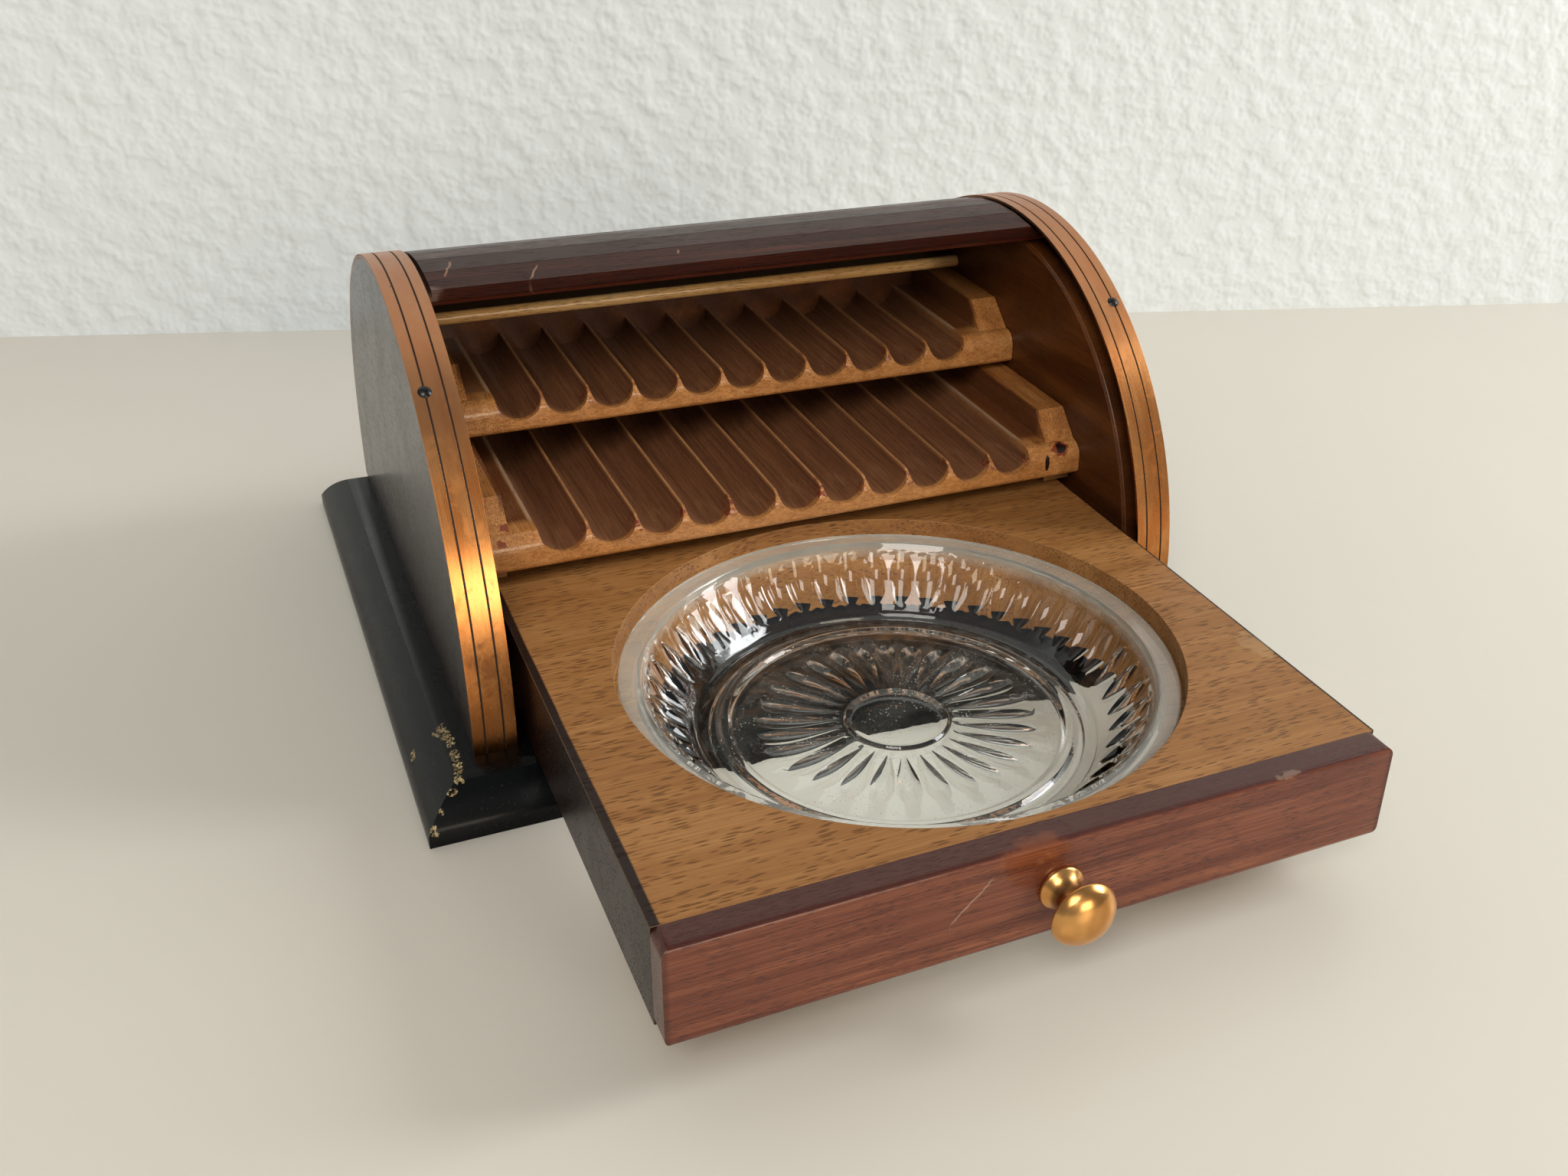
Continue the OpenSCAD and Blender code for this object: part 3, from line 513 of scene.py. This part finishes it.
def trayFinish(name, node, marks=None):
    low = boxMm(node)[0]

    def grooved(place, body, rough, height):
        body, rough, height = grooveMarks(place, body, rough, height, low)
        if marks:
            body, height = crackMarks(place, body, height, marks)
        return body, rough, height

    return woodFinish(name, trayLook, grooved)


lowerMarks = {"knot": (59.6, -34.2, 36.5), "split": (56.1, -35.3, 34),
              "stains": ((-24.2, -33.5, 36), (-15.3, -34.5, 35), (-59.1, -34.5, 36.2), (-57.6, -31.5, 38.1),
                         (-54.5, -27, 38), (4.5, -34.3, 35.4))}
softened("lower_tray", trayLook, trayFinish("lower tray wood", "lower_tray", lowerMarks))
softened("upper_tray", trayLook, trayFinish("upper tray wood", "upper_tray"))

topLow, topHigh = boxMm("top_board")
topLook = {
    **trayLook, "grain": 0, "ease": 0.25, "smear": seen(200, 140, 80), "ends": seen(110, 60, 32),
    # tones pushed very pale: painted light on the front edge, which lies in the tambour's shade; dark:
    # painted shadow for the top behind it
    "tones": (seen(206, 150, 88), seen(234, 184, 118), seen(246, 208, 150)), "dark": seen(46, 27, 17)}


def shadedTopBoard(place, body, rough, height):  # the front edge is bare beech; behind it the top is painted shadow of the tambour, and both ends are darker
    ragged = place.noise(4, 3, 0.6) - 0.5
    # painted shadow: behind the front edge, the top is darkened as if in the tambour's shadow
    back = (place.axis("Y") + ragged * 0.6).between(topLow.y + 1.1, topLow.y + 1.6)
    ends = (place.axis("X").size() + ragged * 2).between(topHigh.x - 9, topHigh.x - 3)
    body = (ends * 0.6).mix(body, topLook["ends"])
    return (back * 0.92).mix(body, topLook["dark"]), rough, height


softened("top_board", topLook, woodFinish("top board wood", topLook, shadedTopBoard))
print("trays done")

# drawer: beech board with stained sides, mahogany lipping with scratches
boardLook = {
    "ease": 0.3, "grain": 0, "ringLength": 80, "ringWidth": 5.5, "fibreLength": 20, "fibreWidth": 0.35,
    "ringPull": 0.7, "fibrePull": 0.8, "tones": (seen(120, 76, 34), seen(146, 99, 53), seen(172, 124, 74)),
    "smear": seen(132, 86, 44), "smearPull": 0.3, "fleckLength": 3.6, "fleckWidth": 0.55, "fleckReach": 0.42,
    "fleckPull": 0.7, "fleck": seen(88, 54, 26), "rough": 0.42, "roughPull": 0.2, "wear": seen(176, 134, 86),
    "wearPull": 0.3, "shine": 0.22, "coat": 0.05, "coatRough": 0.22, "depth": 0.09,
    "stained": seen(22, 8, 6), "scuffed": seen(196, 166, 122), "scuffY": -104}


def drawerSides(place, body, rough, height):
    look, x = boardLook, place.axis("X")
    wobble = (place.noise((20, 25, 20), 2, 0.5) - 0.5) * 0.5
    left = 1 - (x + wobble).between(drawerLow.x + 1.3, drawerLow.x + 1.7)
    right = (x + wobble).between(drawerHigh.x - 0.6, drawerHigh.x - 0.35)
    stained = left.most(right)
    body = (stained * 0.98).mix(body, look["stained"])
    scuff = patch(place, (drawerHigh.x - 2.2, look["scuffY"], drawerHigh.z), (2.5, 5, 2), 1.6, 2)
    body = (scuff * 0.2).mix(body, look["scuffed"])
    return body, rough - stained * 0.1, height + scuff * 0.6


softened("drawer_board", boardLook, woodFinish("drawer beech", boardLook, drawerSides))

lippingLook = {
    "ease": 0.5, "corner": 50, "grain": 0, "ringLength": 60, "ringWidth": 2.2, "fibreLength": 20,
    "fibreWidth": 0.3, "ringPull": 1.0, "fibrePull": 1.0, "smear": seen(94, 46, 32), "smearPull": 0.35,
    "tones": (seen(80, 36, 22), seen(112, 60, 42), seen(142, 86, 58)), "fleckLength": 2.6, "fleckWidth": 0.3,
    "fleckReach": 0.42, "fleckPull": 0.55, "fleck": seen(54, 24, 18), "rough": 0.32, "roughPull": 0.16,
    "wear": seen(164, 116, 96), "wearPull": 0.5, "shine": 0.22, "coat": 0.35, "coatRough": 0.1, "depth": 0.06,
    "upper": seen(58, 22, 17), "ends": seen(46, 18, 13), "rubbed": seen(140, 74, 34),
    "pale": seen(196, 172, 150), "rubbedX": -5, "fineX": -20, "whiteX": 41, "scratchX": -15, "scratchZ": 20.4}


def lippingMarks(place, body, rough, height):
    look, x, z = lippingLook, place.axis("X"), place.axis("Z")
    face, top = frontLow.y, frontHigh.z
    body = (z.between(top - 0.7, top - 0.2) * 0.88).mix(body, look["upper"])
    body = (x.size().between(frontHigh.x - 1.2, frontHigh.x - 0.4) * 0.5).mix(body, look["ends"])
    rubbed = patch(place, (look["rubbedX"], face, top - 1.4), (6.5, 3, 2.6), 1.6, 3, 4)
    body = (rubbed * 0.4).mix(body, look["rubbed"])
    fine = 1 - place.cells((0.8, 30, 14), 2).between(0.03, 0.06)
    fine = fine * patch(place, (look["fineX"], face, top - 6), (9, 8, 8), 0.6, 4)
    rise = z - look["scratchZ"]
    slant = x - look["scratchX"] - rise + (place.noise(3, 3, 0.6) - 0.5) * 1.6
    scratch = (1 - slant.size().between(0.1, 0.35)) * (1 - rise.size().between(2.6, 3.6))
    white = patch(place, (look["whiteX"], face + 0.5, top - 0.3), (2.4, 1.0, 0.6), 1.9, 1.2)
    body = (fine * 0.25 + scratch * 0.35 + white * 0.2).mix(body, look["pale"])
    return body, rough + rubbed * 0.12 + scratch * 0.2, height - scratch * 0.5


softened("drawer_front", lippingLook, woodFinish("drawer front mahogany", lippingLook, lippingMarks))
print("drawer done")

# tambour: fourteen slats, the lead slat and the cloth behind them
slatLook = {
    **outerLook, "ease": 0.22, "grain": 0, "ringLength": 100, "ringWidth": 4, "coat": 0.04, "coatRough": 0.18,
    "shine": 0.08, "tones": (seen(30, 11, 7), seen(50, 21, 14), seen(76, 37, 26)), "smear": seen(48, 24, 18),
    "wear": seen(108, 74, 60), "wearPull": 0.4, "scratched": seen(168, 132, 108),
    # each scratch's middle x and y, its lean and its reach
    "scratches": ((-58.3, -0.6, 0.33, 3.8), (-43.3, -6.3, 0.52, 2.8), (-14, -4, 0.2, 1.0))}
leadLook = {
    **slatLook, "ease": 0.35, "tones": (seen(32, 12, 8), seen(54, 24, 16), seen(80, 40, 28)),
    "wear": seen(138, 74, 52), "wearPull": 0.7, "bare": seen(118, 58, 44), "rubbed": seen(140, 116, 104)}


def slatScratches(place, body, rough, height):
    look, x, y = slatLook, place.axis("X"), place.axis("Y")
    bent = (place.noise(4, 2, 0.6) - 0.5) * 1.2
    lines = []
    for middleX, middleY, lean, reach in look["scratches"]:
        line = 1 - (x - middleX - (y - middleY) * lean + bent).size().between(0.1, 0.35)
        lines.append(line * (1 - (y - middleY).size().between(reach - 1, reach + 0.5)))
    scratched = reduce(Wire.most, lines)
    return (scratched * 0.55).mix(body, look["scratched"]), rough, height - scratched * 0.4


def leadMarks(place, body, rough, height):
    body, rough, height = slatScratches(place, body, rough, height)
    low, high = boxMm("lead_slat")
    ragged = (place.noise((6, 3, 3), 3, 0.65) - 0.5) * 0.8
    bare = 1 - (place.axis("Z") + ragged).between(low.z + 1.1, low.z + 1.7)
    body = (bare * 0.7).mix(body, leadLook["bare"])
    rubbed = patch(place, (low.x + 3, low.y, high.z - 2), (4, 3, 3), 1.1, 3)
    return (rubbed * 0.4).mix(body, leadLook["rubbed"]), rough + rubbed * 0.15, height


slatWood = woodFinish("tambour mahogany", slatLook, slatScratches)
softened("lead_slat", leadLook, woodFinish("lead slat mahogany", leadLook, leadMarks))
for name in sorted(n for n in nodes if n.startswith("slat_")):
    softened(name, slatLook, slatWood)

clothLook = {"thread": 0.7, "thick": 0.3, "dark": seen(50, 40, 28), "light": seen(84, 70, 50),
             "grime": seen(38, 28, 20), "rough": 0.85, "sheen": 0.2, "depth": 0.12, "cuts": 23, "steps": 60}


def clothFinish():
    look = clothLook
    finish, place = newFinish("tambour cloth")
    turn = place.math("ARCTAN2", place.axis("Z") - roundMiddle.z, place.axis("Y") - roundMiddle.y)
    weft = place.math("SINE", place.axis("X") * (math.tau / look["thread"]))
    weave = weft * place.math("SINE", turn * (math.tau * roundR / look["thread"]))
    grime = place.noise(10, 4, 0.6)
    body = (weave * 0.25 + 0.5).mix(look["dark"], look["light"])
    body = (grime.between(0.45, 0.7) * 0.5).mix(body, look["grime"])
    shown(place, paint(place, {"Base Color": body, "Roughness": look["rough"] + (grime - 0.5) * 0.2,
                               "Sheen Weight": look["sheen"]}, weave, look["depth"]))
    return finish


def canvasSheet():  # one curved sheet in the middle of the CAD canvas, an arc about the round's centre
    look = clothLook
    corners = [v.co - bandCentre for v in nodes["canvas"].data.vertices]
    radii = [math.hypot(p.y, p.z) for p in corners]
    angles = [math.atan2(p.z, -p.y) % math.tau for p in corners]
    first, last = min(angles), max(angles)
    half = max(p.x for p in corners)
    radius = (max(radii) + min(radii)) / 2
    shape = bmesh.new()
    start = shape.verts.new(bandCentre + Vector((-half, -radius * math.cos(first), radius * math.sin(first))))
    end = shape.verts.new(start.co + Vector((2 * half, 0, 0)))
    shape.edges.new((start, end))
    bmesh.ops.subdivide_edges(shape, edges=shape.edges[:], cuts=look["cuts"])
    bmesh.ops.spin(shape, geom=shape.verts[:] + shape.edges[:], cent=bandCentre, axis=(-1, 0, 0),
                   dvec=(0, 0, 0), angle=last - first, steps=look["steps"], use_merge=False,
                   use_normal_flip=False, use_duplicate=False)
    bmesh.ops.recalc_face_normals(shape, faces=shape.faces)
    for face in shape.faces:
        face.smooth = True
    made = finished("tambour_cloth", shape, "tambour", slots["canvas"], clothFinish(), "canvas")
    solid = made.modifiers.new("thickness", "SOLIDIFY")
    solid.thickness = min(look["thick"] * mm, (max(radii) - min(radii)) * 0.9)
    solid.offset = 0


canvasSheet()
print("tambour done")

# glass dish: flutes round the wall and petals on the floor, all pressed into a turned profile
dishLook = {
    "flutes": 48, "petals": 28, "across": 14, "along": 18, "rim": 3.9, "lip": 2.2, "foot": 36.4,
    "under": 46.2, "step": 1, "stepDrop": 2, "band": (45.1, 0.7), "flute": ((44.8, 1.2), (37.4, 10.0)),
    "floor": 12.0, "ring": (35.2, 31.0, 0.9), "petal": (25.8, 10.2), "centre": (9.2, 0.6),
    "fluteDepth": 1.25, "petalDepth": 0.8, "fluteSwell": (1, 0.6), "petalSwell": (0.75, 0.7), "scallop": 0.04,
    "fill": 0.94, "smooth": 22, "glass": (0.955, 0.975, 0.97), "film": seen(205, 202, 192),
    "shade": (0.86, 0.88, 0.87), "rough": 0.015, "depth": 0.03, "dusty": (36, 36, 9), "rimSpan": (45.3, 46)}


def glassFinish():
    look = dishLook
    finish, place = newFinish("pressed glass")
    low, high = boxMm("glass_dish")
    middle = (low + high) / 2
    ripple = place.noise(6, 2, 0.5, 0.3)
    fine = place.noise(1.2, 2, 0.5)
    clear = place.node("ShaderNodeBsdfPrincipled", None, {
        "Base Color": look["glass"], "Roughness": look["rough"] + fine.between(0.55, 0.7) * 0.05, "IOR": 1.5,
        "Transmission Weight": 1.0, "Normal": bump(place, ripple + fine * 0.3, look["depth"])})
    specks = 1 - place.cells(0.9).between(0.1, 0.2)
    haze = place.noise(12, 3, 0.6, 0.5)
    onFloor = 1 - place.far((middle.x, middle.y, low.z + 3), look["dusty"]).between(0.9, 1.0)
    dust = specks * haze.between(0.42, 0.6) * onFloor * 0.5
    onRim = place.far((middle.x, middle.y, 0), (1, 1, 1e9)).between(*look["rimSpan"])
    dust = dust.most(onRim * (0.13 + haze * 0.2)) + onFloor * haze.between(0.3, 0.8) * 0.035
    film = place.node("ShaderNodeBsdfDiffuse", None, {"Color": look["film"]})
    glass = place.node("ShaderNodeMixShader", None, {0: dust, 1: clear, 2: film})
    shadow = place.node("ShaderNodeLightPath", None, None, "Is Shadow Ray")
    through = place.node("ShaderNodeBsdfTransparent", None, {"Color": look["shade"]})
    shown(place, place.node("ShaderNodeMixShader", None, {0: shadow, 1: glass, 2: through}))
    return finish


# points, and for each its zone, 1 flute, 2 petal or 3 rim, and its place along it
def dishProfile(rimR, foot, top):
    look = dishLook
    rimZ, floorZ = top - look["lip"], top - look["floor"]
    fluteLine, petalLine = dishLines(top)
    ringOut, ringR, ringH = look["ring"]
    centreR, centreH = look["centre"]
    points = [(0, foot + 0.4, 0), (look["foot"] - 3, foot + 0.4, 0.3), (look["foot"] - 2.4, foot, 0.3),
              (look["foot"], foot, 0.5), (look["under"] - look["step"], rimZ - look["stepDrop"], 0.5),
              (look["under"], rimZ, 0.3), (rimR, rimZ, 0.4), (rimR, top, 0.5), (rimR - look["rim"], top, 0.3),
              (look["band"][0], top - look["band"][1], 0.2), (*fluteLine[0], 0), (*fluteLine[1], 0),
              (ringOut + 1, floorZ + 0.5, 0.8), (ringOut - 1, floorZ, 0.5), (ringR + 1.6, floorZ, 0.3),
              (ringR + 0.5, floorZ + ringH, 0.3), (ringR - 0.5, floorZ + ringH, 0.3),
              (ringR - 1.4, floorZ, 0.3), (*petalLine[0], 0), (*petalLine[1], 0),
              (centreR + 0.5, floorZ, 0.2), (centreR, floorZ + centreH, 0.2),
              (centreR - 1.2, floorZ + 0.1, 0.4), (0, floorZ, 0)]
    line, marks = [], []
    corners = rounded(points)
    for here, after in zip(corners, corners[1:] + [None]):
        line.append(here)
        marks.append((3 if here.x > rimR - 0.05 else 0, 0))
        for number, (start, end) in enumerate((fluteLine, petalLine), start=1):
            if after is not None and (here - start).length < 1e-4 and (after - end).length < 1e-4:
                for k in range(1, look["along"]):
                    share = k / look["along"]
                    line.append(start.lerp(end, share))
                    marks.append((number, share))
    return line, marks


def dishLines(top):  # where the flutes and the petals start and end, as (radius, height)
    look = dishLook
    flute = [Vector((radius, top - drop)) for radius, drop in look["flute"]]
    petal = [Vector((radius, top - look["floor"])) for radius in look["petal"]]
    return flute, petal


def glassDish():
    look = dishLook
    low, high = boxMm("glass_dish")
    middle = (low + high) / 2
    shape = bmesh.new()
    zone = shape.verts.layers.int.new("zone")
    part = shape.verts.layers.float.new("part")
    line, marks = dishProfile((high.x - low.x) / 2, low.z, high.z)
    for vert, (number, share) in zip(profile(shape, line), marks):
        vert[zone], vert[part] = number, share
    columns = look["flutes"] * look["across"]
    turned(shape, columns)
    start, end = dishLines(high.z)[0]
    slope = (end - start).normalized()
    into = Vector((-slope.y, slope.x))  # out of the bowl, into the glass
    for vert in shape.verts:
        radius = math.hypot(vert.co.x, vert.co.y)
        if not vert[zone] or radius < 1e-6:
            continue
        count = look["petals"] if vert[zone] == 2 else look["flutes"]
        share = columns // count
        column = round(math.atan2(vert.co.y, vert.co.x) / math.tau * columns) % columns
        middleAngle = (column // share + 0.5) * math.tau / count
        place = (column % share) / share * 2 - 1  # -1 and 1 are the borders between two flutes
        half = math.pi / count
        if vert[zone] == 3:
            radius -= look["scallop"] * mm * place * place
            angle = middleAngle + place * half
        else:
            early, blunt = look["fluteSwell" if vert[zone] == 1 else "petalSwell"]
            swell = math.sin(math.pi * vert[part] ** early) ** blunt
            across = max(-1, min(1, place / (1 - 2 / share)))
            angle = middleAngle + half * (across * swell * look["fill"] if abs(place) < 1 else place)
            sink = (1 - across * across) * swell * swell * mm
            if vert[zone] == 1:
                radius += into.x * sink * look["fluteDepth"]
                vert.co.z += into.y * sink * look["fluteDepth"]
            else:
                vert.co.z -= sink * look["petalDepth"]
        vert.co.x, vert.co.y = radius * math.cos(angle), radius * math.sin(angle)
    bmesh.ops.translate(shape, verts=shape.verts, vec=(middle.x * mm, middle.y * mm, 0))
    bmesh.ops.recalc_face_normals(shape, faces=shape.faces)
    smoothed(shape, look["smooth"])
    finished("fluted_dish", shape, "drawer", slots["glass_dish"], glassFinish(), "glass_dish")


glassDish()
print("dish done")

# knob
knobLook = {"foot": 3.8, "neck": 2.2, "metal": seen(206, 146, 82), "pale": seen(224, 168, 102),
            "crease": seen(92, 54, 32), "rough": 0.2, "depth": 0.004, "steps": 96, "smooth": 50}


def knobFinish():
    look = knobLook
    finish, place = newFinish("polished knob")
    low, high = boxMm("knob")
    haze = place.noise(4, 2, 0.5)
    hair = place.noise((0.2, 3, 0.2), 2, 0.5)
    neck = ((low.x + high.x) / 2, high.y - 2.6, (low.z + high.z) / 2)
    crease = 1 - place.far(neck, (3.4, 1.6, 3.4)).between(0.7, 1.1)
    body = haze.between(0.35, 0.7).mix(look["metal"], look["pale"])
    body = (crease * 0.75).mix(body, look["crease"])
    rough = look["rough"] + haze * 0.08 + crease * 0.1
    shown(place, paint(place, {"Base Color": body, "Metallic": 1.0, "Roughness": rough}, hair, look["depth"]))
    return finish


def turnedKnob():
    look = knobLook
    low, high = boxMm("knob")
    length, headR = high.y - low.y, (high.x - low.x) / 2
    head, foot, neck = length - 3.2, look["foot"], look["neck"]
    points = [(0, 0, 0), (foot, 0, 0.2), (foot, 0.7, 0.25), (foot - 0.6, 1.3, 0.3), (neck + 0.5, 1.9, 0.4),
              (neck, 3.0, 0.5), (neck, head - 1.7, 0.6), (neck + 0.9, head - 0.9, 0.4),
              (headR - 0.7, head - 0.3, 0.3), (headR, head + 0.15, 0.35), (headR - 0.5, head + 1.1, 0.5),
              (headR * 0.72, length - 0.95, 1.1), (headR * 0.38, length - 0.2, 0.9), (0, length, 0)]
    shape = bmesh.new()
    profile(shape, rounded(points, 4))
    turned(shape, look["steps"])
    bmesh.ops.rotate(shape, verts=shape.verts, cent=(0, 0, 0), matrix=Matrix.Rotation(math.pi / 2, 3, "X"))
    place = Vector(((low.x + high.x) / 2, high.y, (low.z + high.z) / 2))
    bmesh.ops.translate(shape, verts=shape.verts, vec=place * mm)
    smoothed(shape, look["smooth"])
    finished("turned_knob", shape, "drawer", slots["knob"], knobFinish(), "knob")


turnedKnob()
print("knob done")

# studio, in metres: table, plastered wall, three soft lamps and the photograph's camera
studioLook = {
    "wallLeft": (-0.157, 0.220), "wallRight": (0.334, 0.078), "reach": 3, "height": 2.5,
    "table": {"colour": seen(212, 206, 194), "rough": 0.42, "coat": 0.1, "relief": 0},
    "wall": {"colour": seen(236, 241, 242), "rough": 0.8, "coat": 0, "relief": 0.6},
    "lamps": (("window", (1.05, -0.24, 0.66), (0, -0.03, 0.03), (0.55, 0.55), 12.0, (0.97, 0.99, 1.0)),
              ("room", (-0.5, -0.9, 0.9), (0, -0.03, 0.03), (0.55, 0.55), 7.2, (1.0, 0.96, 0.9)),
              ("doorway", (0.18, -1.25, 0.36), (0, -0.05, 0.04), (0.5, 0.42), 4.0, (1.0, 0.88, 0.68))),
    "sky": (0.93, 0.96, 1.0, 1), "skyPower": 0.27}


def plainFinish(name, look, seeThrough=False):  # see-through is from behind only
    finish, place = newFinish(name)
    cloud = place.noise(150, 2, 0.5)
    pale = tuple(min(1, c * 1.04) for c in look["colour"])
    deep = tuple(c * 0.95 for c in look["colour"])
    plaster = place.noise(7, 2, 0.5).between(0.3, 0.75)
    rough = look["rough"] + (cloud - 0.5) * 0.05
    shader = paint(place, {"Base Color": cloud.mix(deep, pale), "Roughness": rough,
                           "Coat Weight": look["coat"], "Coat Roughness": 0.1}, plaster, look["relief"])
    if seeThrough:
        behind = place.node("ShaderNodeNewGeometry", None, None, "Backfacing")
        clear = place.node("ShaderNodeBsdfTransparent", None, {"Color": (1, 1, 1)})
        shader = place.node("ShaderNodeMixShader", None, {0: behind, 1: shader, 2: clear})
    shown(place, shader)
    return finish


def swept(name, ends, move, finish):  # the flat face that an edge sweeps over
    shape = bmesh.new()
    edge = shape.edges.new([shape.verts.new(end) for end in ends])
    grown = bmesh.ops.extrude_edge_only(shape, edges=[edge])
    moved = [g for g in grown["geom"] if isinstance(g, bmesh.types.BMVert)]
    bmesh.ops.translate(shape, verts=moved, vec=move)
    mesh = bpy.data.meshes.new(name)
    shape.to_mesh(mesh)
    shape.free()
    mesh.materials.append(finish)
    made = bpy.data.objects.new(name, mesh)
    bpy.context.scene.collection.objects.link(made)


def lamp(name, spot, aim, size, power, tint):
    light = bpy.data.lights.new(name, "AREA")
    light.shape = "RECTANGLE"
    light.size, light.size_y = size
    light.energy = power
    light.color = tint
    made = bpy.data.objects.new(name, light)
    made.location = spot
    made.rotation_euler = (Vector(aim) - Vector(spot)).to_track_quat("-Z", "Y").to_euler()
    bpy.context.scene.collection.objects.link(made)


def studio():
    look = studioLook
    left, right = Vector((*look["wallLeft"], 0)), Vector((*look["wallRight"], 0))
    run = (right - left).normalized() * look["reach"]
    out = Vector((run.y, -run.x, 0))  # away from the wall, towards the camera
    ends = [(left + right) / 2 - run, (left + right) / 2 + run]
    swept("table_top", [end + out for end in ends], -2 * out, plainFinish("pale table", look["table"]))
    swept("backdrop", ends[::-1], (0, 0, look["height"]), plainFinish("pale wall", look["wall"], True))
    for settings in look["lamps"]:
        lamp(*settings)
    world = bpy.data.worlds.new("studio")
    world.use_nodes = True
    sky = world.node_tree.nodes["Background"].inputs
    sky["Color"].default_value = look["sky"]
    sky["Strength"].default_value = look["skyPower"]
    bpy.context.scene.world = world
    bpy.context.scene.view_settings.view_transform = "Standard"


studio()

cameraLook = {
    "place": (-0.104500, -0.290021, 0.171612), "ahead": (0.376903, 0.801134, -0.464897),
    "up": (0.168730, 0.434130, 0.884908), "sensor": 36, "lens": 35.634, "shift": (-0.05533, -0.03175),
    "clip": (0.01, 20)}


def photoCamera():
    look = cameraLook
    view = bpy.data.cameras.new("photo view")
    view.sensor_width = look["sensor"]
    view.lens = look["lens"]
    view.shift_x, view.shift_y = look["shift"]
    view.clip_start, view.clip_end = look["clip"]
    ahead, up = Vector(look["ahead"]).normalized(), Vector(look["up"]).normalized()
    right = ahead.cross(up).normalized()
    turn = Matrix((right, right.cross(ahead), -ahead)).transposed().to_4x4()
    made = bpy.data.objects.new("photo view", view)
    made.matrix_world = Matrix.Translation(look["place"]) @ turn
    bpy.context.scene.collection.objects.link(made)
    bpy.context.scene.camera = made


photoCamera()
print("studio done")
